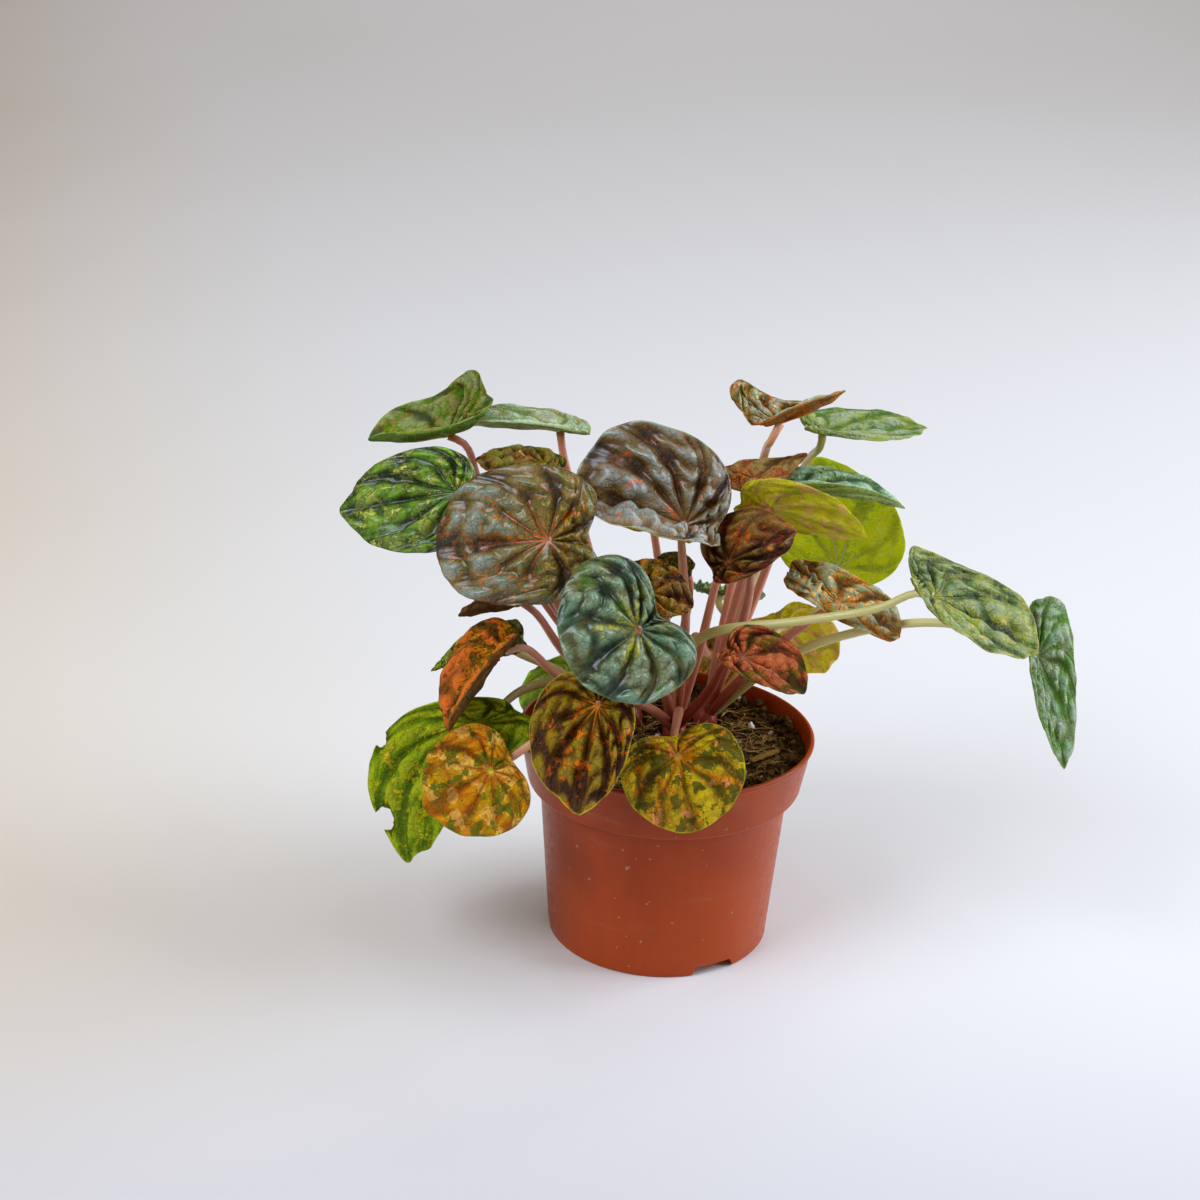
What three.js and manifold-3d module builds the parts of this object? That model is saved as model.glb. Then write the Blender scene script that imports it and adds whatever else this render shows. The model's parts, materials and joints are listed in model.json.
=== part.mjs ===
// Ripple peperomia (Peperomia caperata) in a round plastic nursery pot.
// Millimetres, +Z up. The origin is the middle of the flat pad under the pot, on the pot's axis.

import * as THREE from "three";
import { mergeVertices } from "three/addons/utils/BufferGeometryUtils.js";
import Module from "manifold-3d";

const wasm = await Module();
wasm.setup();

const degrees = Math.PI / 180;

// ---------------------------------------------------------------- driving dimensions

const pot = {
  height: 89,
  rimRadius: 60,
  lipHeight: 2.2,
  lipWidth: 1.6,
  lipOverhang: 0.9,
  bandHeight: 21.5,
  bandRadius: 55.6,
  stepHeight: 0.9,
  wallTopRadius: 50.6,
  wallFootRadius: 45.3,
  wall: 1.3,
  floor: 1.5,
  footHeight: 3.2,
  footWidth: 2.6,
  padRadius: 14,
  edge: 0.6,
  corner: 2,
  notchSlant: 2.5,
  notchHeight: 4,
  notchAngles: [-60, 60, 180],
  notchWidth: 26,
  drainRadius: 4,
  drainRingRadius: 30,
  drains: 6,
  sides: 40,
};

const soil = {
  surface: 81,
  lumpHeight: 0.9,
  lumpPitch: 20,
  gap: 0.3,
  rings: 5,
};

const crown = {
  radius: 5.2,
  tipRadius: 3,
  depth: 9,
  rise: 5,
  bevel: 1.2,
  holeGap: 0.35,
  holeSides: 16,
  sides: 12,
};

const blade = {
  thickness: 0.9,
  rings: [0.32, 0.7, 1],
  largeRings: [0.3, 0.62, 0.86, 1],
  largeVeins: 11,
  veinBend: 0.35,
  notchWidth: 0.45,
  pointWidth: 0.2,
  ridgePower: 0.8,
  flatShare: 0.03,
  fullRippleShare: 0.45,
  marginEase: 0.35,
  foldShare: 0.65,
  seat: 0.7,
  biteLength: 30,
  biteSides: 10,
};

const petiole = {
  sides: 6,
  steps: 9,
  baseRadius: 2.3,
  leafRadius: 1.5,
  baseRise: 1.5,
};

// Each rosette is one short crown and the petioles that grow from it.
const rosettes = {
  centre: { x: 4, y: 14, colour: 0xb4554a },
  left: { x: -14, y: 26, colour: 0xa9604c },
  right: { x: 17, y: 27, colour: 0xc0664f },
  back: { x: 4, y: 42, colour: 0xa8553f },
};

const finishes = {
  silverBronze: { color: 0x6f6a66, roughness: 0.35 },
  limeGreen: { color: 0x3f7a2a, roughness: 0.4 },
  silverGreen: { color: 0x4d6f5c, roughness: 0.35 },
  darkRed: { color: 0x4a2420, roughness: 0.4 },
  orangeSalmon: { color: 0xb5653a, roughness: 0.42 },
  oliveOrange: { color: 0x6e5a2c, roughness: 0.42 },
  lime: { color: 0x9bb03a, roughness: 0.45 },
  brightGreen: { color: 0x5a9a33, roughness: 0.4 },
};

// What most blades have in common. lobe: how far the blade reaches behind the petiole. fold and cup: degrees
// that the left and right halves turn up at the midrib and on towards the margin. arch: degrees that the
// midrib bends down on its way to the point. bow: how far it bends to the left. curl: degrees that the lobes
// behind the petiole turn up. taper: how much narrower the blade is towards the point. full: below 1 for a
// squarer outline. notch: depth of the notch at the petiole.
const ordinaryBlade = {
  lobe: 12,
  fold: [8, 8],
  cup: [-8, -8],
  arch: 15,
  bow: 0,
  curl: 0,
  taper: 0.1,
  full: 0.95,
  point: 0.06,
  notch: 0.35,
  veins: 9,
  ripple: 1.3,
  approach: [5, 5],
  bites: [],
};

// at: where the petiole meets the blade. tip: from there to the blade's point. face: where the upper side
// looks. half: widths of the left and right halves. via: points that the petiole passes. approach: how far
// behind and below the blade it makes its last turn. bites: holes at the margin, as [x, y, z, radius].
const leaves = [
  // High leaves on the left.
  {
    name: "leaf_top_centre", rosette: "centre", finish: "silverBronze", at: [3, -14, 182], tip: [-44, 7, 6],
    face: [0.05, -0.72, 0.7], half: [22, 35], lobe: 18, fold: [54, 28], cup: [-12, -12], arch: 25,
    taper: -0.1, full: 0.9, point: 0, veins: 11, ripple: 1.8, approach: [0, 6],
    via: [[5, -10, 142]],
  },
  {
    name: "leaf_upper_left", rosette: "left", finish: "silverBronze", at: [-49, -36, 182],
    tip: [-43, 12, -10], face: [0.1, -0.9, 0.44], half: [24, 29], lobe: 25, fold: [5, 5], cup: [-20, -15],
    arch: 22, taper: 0, full: 0.85, point: 0.03, notch: 0.4, veins: 11, ripple: 1.8,
    via: [[-36, 4, 128], [-46, -15, 150]],
  },
  {
    name: "leaf_left_lime", rosette: "left", finish: "limeGreen", at: [-85, -6, 189], tip: [-47, 12, -14],
    face: [-0.1, -0.83, 0.55], half: [22, 19], lobe: 11, fold: [5, 10], taper: 0.15, veins: 11, ripple: 1.4,
    via: [[-50, 8, 142]],
  },
  {
    name: "leaf_high_left", rosette: "left", finish: "limeGreen", at: [-91, 19, 204], tip: [-32, 3, -4],
    face: [0.75, -0.11, 0.65], half: [12, 24], lobe: 27, fold: [40, 28], cup: [-11, 8], arch: -25, bow: 3,
    curl: 23, taper: -0.05, full: 0.75, notch: 0.15, via: [[-58, 30, 140], [-78, 29, 178]],
  },
  {
    name: "leaf_high_left_back", rosette: "left", finish: "silverGreen", at: [-47, 27, 205],
    tip: [-36, 2, 0], face: [0, 0.18, 0.98], half: [13, 14], lobe: 14, fold: [18, 30], cup: [-9, -1],
    arch: 8, taper: -0.35, full: 0.75, notch: 0.16, approach: [2, 8], via: [[-34, 34, 152]],
  },
  {
    name: "leaf_left_olive", rosette: "left", finish: "oliveOrange", at: [-52, 4, 198], tip: [-28, 5, 0],
    face: [-0.1, -0.1, 1], half: [14, 14], lobe: 10, fold: [0, 2], approach: [2, 8],
    via: [[-38, 20, 146]],
  },
  {
    name: "leaf_left_hidden", rosette: "left", finish: "darkRed", at: [-60, -8, 146], tip: [-24, -4, -6],
    face: [-0.2, 0.6, 0.75], half: [13, 13], lobe: 8, ripple: 1, via: [[-42, 10, 116]],
  },
  // High leaves on the right.
  {
    name: "leaf_high_right", rosette: "right", finish: "oliveOrange", at: [38, 8, 218], tip: [25, 2, 13],
    face: [-0.27, 0.02, 0.96], half: [22, 8], lobe: 27, fold: [7, 36], cup: [17, 5], arch: -14, bow: -5,
    curl: 64, taper: 0.43, full: 1.35, notch: 0.15, via: [[28, 46, 150], [35, 38, 194]],
  },
  {
    name: "leaf_high_right_green", rosette: "right", finish: "brightGreen", at: [57, 30, 208],
    tip: [43, 12, -1], face: [0.04, 0.13, 0.99], half: [18, 15], lobe: 13, fold: [25, 4], cup: [3, -8],
    arch: -9, bow: -2, curl: 16, taper: -0.13, full: 0.97, notch: 0.44, approach: [0, 5],
    via: [[36, 50, 140], [53, 48, 188]],
  },
  {
    name: "leaf_right_red", rosette: "right", finish: "darkRed", at: [30, 17, 191], tip: [21, 5, 10],
    face: [-0.07, -0.36, 0.93], half: [13, 9], lobe: 13, fold: [5, 21], cup: [-24, -17], arch: 1, bow: -3,
    curl: 21, taper: 0.47, full: 1.09, notch: 0.34, via: [[30, 30, 150], [32, 19, 176]],
  },
  {
    name: "leaf_right_lime_olive", rosette: "right", finish: "lime", at: [37, 6, 183], tip: [37, -4, -10],
    face: [0.1, 0.8, 0.55], half: [12, 18], lobe: 19, via: [[30, 12, 138]],
  },
  {
    name: "leaf_right_silver", rosette: "right", finish: "silverGreen", at: [47, 23, 185], tip: [45, 4, -7],
    face: [0, 0, 1], half: [16, 14], lobe: 10, fold: [25, 38], taper: 0.15, approach: [2, 8],
    via: [[36, 30, 140]],
  },
  {
    name: "leaf_right_lime_back", rosette: "right", finish: "lime", at: [71, 62, 138], tip: [-13, -10, 51],
    face: [0.25, 0.9, 0.3], half: [30, 26], lobe: 13, fold: [5, 5], notch: 0.25,
    via: [[48, 40, 112], [63, 46, 125]],
  },
  // The middle.
  {
    name: "leaf_centre_maroon", rosette: "centre", finish: "darkRed", at: [20, -16, 168], tip: [26, 3, 13],
    face: [0, -0.75, 0.65], half: [18, 9], lobe: 11, fold: [5, 15], cup: [-10, -20], ripple: 1.5,
    via: [[12, 4, 124]],
  },
  {
    name: "leaf_right_folded", rosette: "right", finish: "silverBronze", at: [64, -14, 152],
    tip: [25, -2, -11], face: [0.07, -0.69, 0.72], half: [17, 10], lobe: 27, fold: [-11, 45],
    cup: [-14, -29], arch: 39, bow: -2, curl: 39, taper: -0.21, full: 0.75, notch: 0.15,
    approach: [4, 6], via: [[41, 8, 122]],
  },
  {
    name: "leaf_front_centre", rosette: "centre", finish: "silverGreen", at: [-14, -62, 158],
    tip: [-23, -8, -16], face: [0, -0.9, 0.42], half: [26, 32], lobe: 20, fold: [3, 3], cup: [-15, -15],
    point: 0.02, notch: 0.55, veins: 11, ripple: 1.7, via: [[-6, -22, 128]],
  },
  {
    name: "leaf_centre_brown", rosette: "centre", finish: "darkRed", at: [-10, -38, 163], tip: [17, 2, -5],
    face: [0, -0.6, 0.8], half: [15, 10], lobe: 14, fold: [5, 5], ripple: 1.5, via: [[-2, -8, 124]],
  },
  {
    name: "leaf_inner_olive", rosette: "back", finish: "oliveOrange", at: [5, 40, 144], tip: [-11, 2, 3],
    face: [0, -0.4, 0.9], half: [6, 6], lobe: 6, ripple: 0.8, via: [[7, 43, 116]],
  },
  {
    name: "leaf_small_red", rosette: "centre", finish: "darkRed", at: [26, -38, 138], tip: [25, -8, -10],
    face: [0.1, -0.6, 0.78], half: [16, 10], lobe: 12, fold: [10, 25], notch: 0.4, via: [[16, -8, 110]],
  },
  {
    name: "leaf_right_olive_round", rosette: "right", finish: "oliveOrange", at: [50, 62, 110],
    tip: [20, 8, -25], face: [0, 0.85, 0.5], half: [19, 19], lobe: 15, fold: [5, 5], via: [[38, 46, 104]],
  },
  // Far right, on long petioles.
  {
    name: "leaf_far_right_pale", rosette: "centre", finish: "brightGreen", at: [97, -38, 166],
    tip: [41, -4, -19], face: [-0.49, -0.46, 0.74], half: [21, 22], lobe: 27, fold: [-13, 50],
    cup: [-1, -8], arch: -19, curl: 50, taper: -0.35, full: 0.88, notch: 0.5, veins: 11,
    via: [[5, -4, 122], [14, -14, 137], [48, -24, 148], [77, -32, 158]],
  },
  {
    name: "leaf_far_right_drooping", rosette: "right", finish: "silverGreen", at: [140, -30, 140],
    tip: [13, -12, -42], face: [0.62, -0.74, 0.26], half: [16, 8], lobe: 25, fold: [34, 17], cup: [-23, 5],
    arch: 1, bow: -3, curl: 5, taper: 0.1, full: 1.03, notch: 0.15, veins: 11,
    via: [[50, 10, 120], [90, -6, 141], [112, -17, 146]],
  },
  // Low leaves on the left.
  {
    name: "leaf_left_salmon", rosette: "left", finish: "orangeSalmon", at: [-65, -28, 133],
    tip: [-21, -8, -32], face: [-0.9, -0.42, 0.2], half: [16, 20], fold: [43, 24], via: [[-44, -4, 112]],
  },
  {
    name: "leaf_left_edge_on", rosette: "left", finish: "limeGreen", at: [-66, -6, 126], tip: [-29, -4, -11],
    face: [-0.1, -0.1, 1], half: [10, 15], lobe: 12, fold: [10, 10], taper: 0.5, via: [[-44, 8, 109]],
  },
  {
    name: "leaf_low_left_green", rosette: "left", finish: "brightGreen", at: [-73, -22, 99],
    tip: [-29, -16, -55], face: [-0.3, -0.85, 0.4], half: [23, 21], lobe: 17, fold: [5, 5], bow: -14,
    taper: 0, veins: 11, ripple: 1.4, via: [[-34, 14, 103], [-58, 0, 104]],
    bites: [[-115, -28, 87, 3.4], [-111, -33, 59, 4]],
  },
  {
    name: "leaf_low_left_orange", rosette: "left", finish: "orangeSalmon", at: [-68, -48, 91],
    tip: [-25, -8, -14], face: [-0.05, -0.93, 0.38], half: [23, 21], lobe: 13, fold: [5, 5], notch: 0.3,
    veins: 11, via: [[-32, -12, 102], [-50, -38, 101]],
  },
  // Low leaves in front.
  {
    name: "leaf_front_bronze", rosette: "centre", finish: "oliveOrange", at: [-28, -66, 129],
    tip: [-6, -14, -39], face: [-0.2, -0.9, 0.38], half: [15, 24], lobe: 14, fold: [5, 5], cup: [-25, -15],
    arch: 20, veins: 11, ripple: 1.9, via: [[-8, -20, 107]],
  },
  {
    name: "leaf_front_orange", rosette: "centre", finish: "orangeSalmon", at: [3, -58, 105],
    tip: [8, -6, -29], face: [0, -0.92, 0.4], half: [24, 23], lobe: 14, notch: 0.45, veins: 11,
    via: [[4, -20, 106]],
  },
  // Leaves at the back.
  {
    name: "leaf_back_high", rosette: "back", finish: "silverBronze", at: [-10, 60, 170], tip: [-6, 36, -10],
    face: [0, 0.35, 0.93], half: [21, 21], lobe: 15, veins: 11, ripple: 1.6, via: [[-3, 50, 130]],
  },
  {
    name: "leaf_back_left", rosette: "left", finish: "oliveOrange", at: [-60, 55, 148], tip: [-26, 24, -12],
    face: [-0.3, 0.6, 0.75], half: [19, 20], lobe: 13, via: [[-36, 40, 118]],
  },
  {
    name: "leaf_back_middle", rosette: "back", finish: "darkRed", at: [-12, 80, 118], tip: [-4, 22, -33],
    face: [0, 0.88, 0.47], half: [22, 21], lobe: 14, via: [[-2, 58, 112]],
  },
  {
    name: "leaf_back_low_left", rosette: "left", finish: "brightGreen", at: [-38, 76, 80],
    tip: [-15, 14, -34], face: [-0.35, 0.85, 0.4], half: [20, 20], lobe: 13, via: [[-26, 46, 104]],
  },
  {
    name: "leaf_back_low_right", rosette: "back", finish: "oliveOrange", at: [20, 80, 90],
    tip: [8, 12, -33], face: [0.1, 0.9, 0.42], half: [19, 20], lobe: 12, via: [[12, 58, 105]],
  },
  {
    name: "leaf_back_right", rosette: "right", finish: "limeGreen", at: [24, 78, 119], tip: [10, 27, -18],
    face: [0.15, 0.7, 0.7], half: [16, 16], via: [[27, 54, 112]],
  },
];

// ---------------------------------------------------------------- solids

// A geometry's triangles as a manifold-3d solid.
function solidOf(geometry) {
  const bare = new THREE.BufferGeometry();
  bare.setAttribute("position", geometry.getAttribute("position"));
  bare.setIndex(geometry.getIndex());
  const merged = mergeVertices(bare, 1e-4);
  const vertProperties = merged.getAttribute("position").array;
  const triVerts = new Uint32Array(merged.getIndex().array);
  return new wasm.Manifold(new wasm.Mesh({ numProp: 3, vertProperties, triVerts }));
}

// A manifold-3d solid as a flat-shaded geometry.
function geometryOf(solid) {
  const mesh = solid.getMesh();
  const positions = new Float32Array(mesh.numVert * 3);
  for (let i = 0; i < mesh.numVert; i++) {
    const start = i * mesh.numProp;
    positions.set(mesh.vertProperties.subarray(start, start + 3), i * 3);
  }
  const geometry = new THREE.BufferGeometry();
  geometry.setAttribute("position", new THREE.BufferAttribute(positions, 3));
  geometry.setIndex(new THREE.BufferAttribute(mesh.triVerts, 1));
  const flat = geometry.toNonIndexed();
  flat.computeVertexNormals();
  return flat;
}

// A geometry from a list of Vector3 and a list of triangles.
function geometryFrom(points, triangles) {
  const geometry = new THREE.BufferGeometry();
  geometry.setAttribute("position", new THREE.Float32BufferAttribute(points.flatMap((p) => p.toArray()), 3));
  geometry.setIndex(triangles.flat());
  return geometry;
}

function namedMesh(name, geometry, look) {
  const material = new THREE.MeshStandardMaterial({ metalness: 0, ...look });
  const mesh = new THREE.Mesh(geometry, material);
  mesh.name = name;
  return mesh;
}

// A solid of revolution about Z from [radius, height] points.
function turned(profile, sides) {
  const points = profile.map(([radius, height]) => new THREE.Vector2(radius, height));
  return new THREE.LatheGeometry(points, sides).rotateX(Math.PI / 2);
}

// An upright cylinder between two heights.
function uprightCylinder(radius, low, high, sides) {
  const cylinder = new THREE.CylinderGeometry(radius, radius, high - low, sides);
  return cylinder.rotateX(Math.PI / 2).translate(0, 0, (low + high) / 2);
}

// ---------------------------------------------------------------- pot

const bandFoot = pot.height - pot.bandHeight;
const wallSlope = (pot.wallTopRadius - pot.wallFootRadius) / bandFoot;
const floorTop = pot.footHeight + pot.floor;

// Inside radius of the pot's wall below the band.
function insideRadius(height) {
  return pot.wallFootRadius + wallSlope * height - pot.wall;
}

// Inside radius of the band, which flares to the rim.
function bandInsideRadius(height) {
  const share = (height - bandFoot) / pot.bandHeight;
  const outside = THREE.MathUtils.lerp(pot.bandRadius, pot.rimRadius - pot.lipOverhang, share);
  return outside - pot.wall;
}

function potGeometry() {
  const lipTop = pot.height;
  const lipFoot = pot.height - pot.lipHeight;
  const bandTopRadius = pot.rimRadius - pot.lipOverhang;
  const footInside = pot.wallFootRadius - pot.footWidth;
  const shelf = bandFoot + pot.stepHeight + pot.wall;
  const profile = [
    [0, 0],
    [pot.padRadius, 0],
    [pot.padRadius + pot.edge, pot.footHeight],
    [footInside - pot.edge, pot.footHeight],
    [footInside, 0],
    [pot.wallFootRadius - pot.edge, 0],
    [pot.wallFootRadius, pot.edge],
    [pot.wallTopRadius, bandFoot - pot.edge],
    [pot.bandRadius - pot.edge, bandFoot],
    [pot.bandRadius, bandFoot + pot.stepHeight],
    [bandTopRadius, lipFoot],
    [pot.rimRadius, lipFoot + pot.edge],
    [pot.rimRadius, lipTop - pot.edge],
    [pot.rimRadius - pot.edge, lipTop],
    [pot.rimRadius - pot.lipWidth, lipTop],
    [bandInsideRadius(lipFoot), lipFoot],
    [bandInsideRadius(shelf), shelf],
    [insideRadius(shelf), shelf - pot.edge],
    [insideRadius(floorTop + pot.corner), floorTop + pot.corner],
    [insideRadius(floorTop) - pot.corner, floorTop],
    [0, floorTop],
  ];
  let solid = solidOf(turned(profile, pot.sides));
  for (let i = 0; i < pot.drains; i++) {
    const angle = ((i + 0.5) / pot.drains) * 2 * Math.PI;
    const hole = uprightCylinder(pot.drainRadius, -1, floorTop + 1, 12);
    hole.translate(pot.drainRingRadius * Math.cos(angle), pot.drainRingRadius * Math.sin(angle), 0);
    solid = solid.subtract(solidOf(hole));
  }
  for (const angle of pot.notchAngles) solid = solid.subtract(solidOf(notchGeometry(angle)));
  return geometryOf(solid);
}

// A block that cuts one water notch out of the foot ring: wide below, a little narrower above.
function notchGeometry(angle) {
  const half = (pot.notchWidth / 2) * degrees * pot.wallFootRadius;
  const outline = new THREE.Shape();
  outline.moveTo(-half, -1);
  outline.lineTo(half, -1);
  outline.lineTo(half - pot.notchSlant, pot.notchHeight);
  outline.lineTo(pot.notchSlant - half, pot.notchHeight);
  const reach = 4 * pot.footWidth;
  const block = new THREE.ExtrudeGeometry(outline, { depth: reach, bevelEnabled: false });
  block.rotateX(Math.PI / 2).rotateZ(Math.PI / 2);
  block.translate(pot.wallFootRadius - reach / 2, 0, 0);
  return block.rotateZ(angle * degrees);
}

// ---------------------------------------------------------------- soil

// The soil's top has soft lumps: two crossed waves and a finer slanting one.
function soilHeight(x, y) {
  const wave = (2 * Math.PI) / soil.lumpPitch;
  const crossed = Math.sin(wave * x + 1.1) * Math.cos(0.9 * wave * y - 0.6);
  const slanting = 0.6 * Math.sin(2.3 * wave * x - 1.7 * wave * y);
  return soil.surface + soil.lumpHeight * (crossed + slanting);
}

function soilGeometry() {
  const edge = bandInsideRadius(soil.surface - 2 * soil.lumpHeight) - soil.gap;
  const shelf = bandFoot + pot.stepHeight + pot.wall + soil.gap;
  const bottom = floorTop + soil.gap;
  const profile = [
    [0, bottom],
    [insideRadius(bottom) - pot.corner - 2 * soil.gap, bottom],
    [insideRadius(bottom + pot.corner) - 2 * soil.gap, bottom + pot.corner],
    [insideRadius(shelf) - soil.gap, shelf],
    [bandInsideRadius(shelf) - 2 * soil.gap, shelf + soil.gap],
  ];
  for (let ring = soil.rings; ring >= 0; ring--) profile.push([(edge * ring) / soil.rings, soil.surface]);
  const geometry = turned(profile, pot.sides);
  const position = geometry.getAttribute("position");
  for (let i = 0; i < position.count; i++) {
    if (position.getZ(i) > soil.surface - 0.01) {
      position.setZ(i, soilHeight(position.getX(i), position.getY(i)));
    }
  }
  let solid = solidOf(geometry);
  for (const { x, y } of Object.values(rosettes)) {
    const radius = crown.radius + crown.holeGap;
    const bottomOfHole = soil.surface - crown.depth;
    const hole = uprightCylinder(radius, bottomOfHole, soil.surface + crown.depth, crown.holeSides);
    solid = solid.subtract(solidOf(hole.translate(x, y, 0)));
  }
  return geometryOf(solid);
}

// ---------------------------------------------------------------- blades

// The blade's own axes: along the midrib and up from the face where the petiole meets it, and across.
function bladeFrame(leaf) {
  const chord = new THREE.Vector3(...leaf.tip);
  const toTip = chord.clone().normalize();
  const facing = new THREE.Vector3(...leaf.face);
  facing.addScaledVector(toTip, -facing.dot(toTip)).normalize();
  const half = (leaf.arch / 2) * degrees;
  const along = toTip.clone().multiplyScalar(Math.cos(half)).addScaledVector(facing, Math.sin(half));
  const up = facing.clone().multiplyScalar(Math.cos(half)).addScaledVector(toTip, -Math.sin(half));
  const across = new THREE.Vector3().crossVectors(facing, toTip);
  const reach = (chord.length() * half) / Math.sin(half);
  return { at: new THREE.Vector3(...leaf.at), along, across, up, reach };
}

function signedPower(value, power) {
  return Math.sign(value) * Math.abs(value) ** power;
}

// A flat outline: two half ovals with a blunt point at angle 0 and a notch at 180 degrees. share runs from 0
// at the petiole to 1 at the margin, and the veins bend towards the point on the way.
function flatPoint(leaf, reach, share, angle) {
  const bent = angle + blade.veinBend * (1 - share) * Math.sin(angle);
  const fore = reach * (1 - leaf.point);
  const fromPoint = bent / blade.pointWidth;
  const sharp = leaf.point * reach * Math.exp(-fromPoint * fromPoint);
  const fromBack = (Math.PI - Math.abs(bent)) / blade.notchWidth;
  const scale = share * (1 - leaf.notch * Math.exp(-fromBack * fromBack));
  const middle = (fore - leaf.lobe) / 2;
  const u = scale * (middle + ((fore + leaf.lobe) / 2) * signedPower(Math.cos(bent), leaf.full) + sharp);
  const half = Math.sin(bent) < 0 ? leaf.half[1] : leaf.half[0];
  const v = scale * half * signedPower(Math.sin(bent), leaf.full) * (1 - leaf.taper * share * Math.cos(bent));
  const way = u / reach;
  return [u, v + 4 * leaf.bow * way * (1 - Math.max(way, 0))];
}

// The smooth middle surface: the midrib is an arc, with a tighter one through the lobes behind the petiole.
// Each half turns up by fold at the midrib and by cup more at the margin.
function middlePoint(leaf, frame, share, angle) {
  const [u, v] = flatPoint(leaf, frame.reach, share, angle);
  const side = Math.sin(angle) < 0 ? 1 : 0;
  const fold = leaf.fold[side] * degrees;
  const turn = (leaf.cup[side] * degrees) / leaf.half[side];
  const out = (Math.sin(fold + turn * Math.abs(v)) - Math.sin(fold)) / turn;
  const rise = (Math.cos(fold) - Math.cos(fold + turn * Math.abs(v))) / turn;
  const curl = u < 0 ? (leaf.curl * degrees) / leaf.lobe : 0;
  const curve = (leaf.arch * degrees) / frame.reach - curl;
  const lean = curve * u;
  return frame.at
    .clone()
    .addScaledVector(frame.along, Math.sin(lean) / curve + rise * Math.sin(lean))
    .addScaledVector(frame.up, (Math.cos(lean) - 1) / curve + rise * Math.cos(lean))
    .addScaledVector(frame.across, Math.sign(v) * out);
}

// The direction that the middle surface faces at a point, from short steps along it. On the fold at the
// midrib it lies midway between the two halves, and is longer than 1 so that the blade is no thinner there.
function middleNormal(leaf, frame, share, angle) {
  const step = 0.01;
  const start = middlePoint(leaf, frame, share, angle);
  const outward = middlePoint(leaf, frame, share + step, angle).sub(start);
  const after = middlePoint(leaf, frame, share, angle + step).sub(start);
  const before = start.clone().sub(middlePoint(leaf, frame, share, angle - step));
  const left = outward.clone().cross(after).normalize();
  const right = outward.clone().cross(before).normalize();
  const middle = left.clone().add(right).normalize();
  return middle.divideScalar(Math.max(middle.dot(left), blade.foldShare));
}

// Height of the ripple: valleys along the veins, ridges between them, flat at the petiole.
function ripple(leaf, share, angle) {
  const start = THREE.MathUtils.smoothstep(share, blade.flatShare, blade.fullRippleShare);
  const ridge = Math.abs(Math.sin((leaf.veins * angle) / 2)) ** blade.ridgePower;
  return leaf.ripple * start * (1 - blade.marginEase * share * share) * (ridge - 0.5);
}

// The blade is the middle surface, thickened both ways, with the same triangles on both sides.
function bladeGeometry(leaf) {
  const frame = bladeFrame(leaf);
  const spokes = 2 * leaf.veins;
  const shares = leaf.veins < blade.largeVeins ? blade.rings : blade.largeRings;
  const rings = shares.length;
  const sides = [blade.thickness / 2, -blade.thickness / 2];
  const points = [];
  for (const offset of sides) {
    points.push(frame.at.clone().addScaledVector(frame.up, offset));
    for (const share of shares) {
      for (let k = 0; k < spokes; k++) {
        const angle = k <= spokes / 2 ? (2 * Math.PI * k) / spokes : (2 * Math.PI * (k - spokes)) / spokes;
        const lift = ripple(leaf, share, angle) + offset;
        const normal = middleNormal(leaf, frame, share, angle);
        points.push(middlePoint(leaf, frame, share, angle).addScaledVector(normal, lift));
      }
    }
  }
  const faceSize = 1 + rings * spokes;
  const at = (face, ring, k) => face * faceSize + 1 + ring * spokes + (k % spokes);
  const triangles = [];
  for (let k = 0; k < spokes; k++) {
    triangles.push([0, at(0, 0, k), at(0, 0, k + 1)]);
    triangles.push([faceSize, at(1, 0, k + 1), at(1, 0, k)]);
    for (let ring = 0; ring + 1 < rings; ring++) {
      for (const [p, q, r] of [[0, 1, 3], [0, 3, 2]]) {
        const corner = (face, n) => at(face, ring + (n & 1), k + (n >> 1));
        triangles.push([corner(0, p), corner(0, q), corner(0, r)]);
        triangles.push([corner(1, r), corner(1, q), corner(1, p)]);
      }
    }
    const edge = (face, next) => at(face, rings - 1, k + next);
    triangles.push([edge(0, 0), edge(1, 0), edge(1, 1)], [edge(0, 0), edge(1, 1), edge(0, 1)]);
  }
  const whole = geometryFrom(points, triangles);
  if (leaf.bites.length === 0) return whole;
  let solid = solidOf(whole);
  for (const [x, y, z, radius] of leaf.bites) {
    const hole = new THREE.CylinderGeometry(radius, radius, blade.biteLength, blade.biteSides);
    solid = solid.subtract(solidOf(hole.translate(x, y, z)));
  }
  return geometryOf(solid);
}

// ---------------------------------------------------------------- petioles and crowns

// A petiole runs from its crown past its via points to just under its blade, which it meets from behind.
function petioleCurve(leaf, frame) {
  const { x, y } = rosettes[leaf.rosette];
  const base = new THREE.Vector3(x, y, soil.surface + petiole.baseRise);
  const end = frame.at.clone().addScaledVector(frame.up, -(blade.thickness / 2 + blade.seat));
  const [behind, below] = leaf.approach;
  const approach = end.clone().addScaledVector(frame.along, -behind).addScaledVector(frame.up, -below);
  const via = leaf.via.map((point) => new THREE.Vector3(...point));
  return new THREE.CatmullRomCurve3([base, ...via, approach, end]);
}

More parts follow.
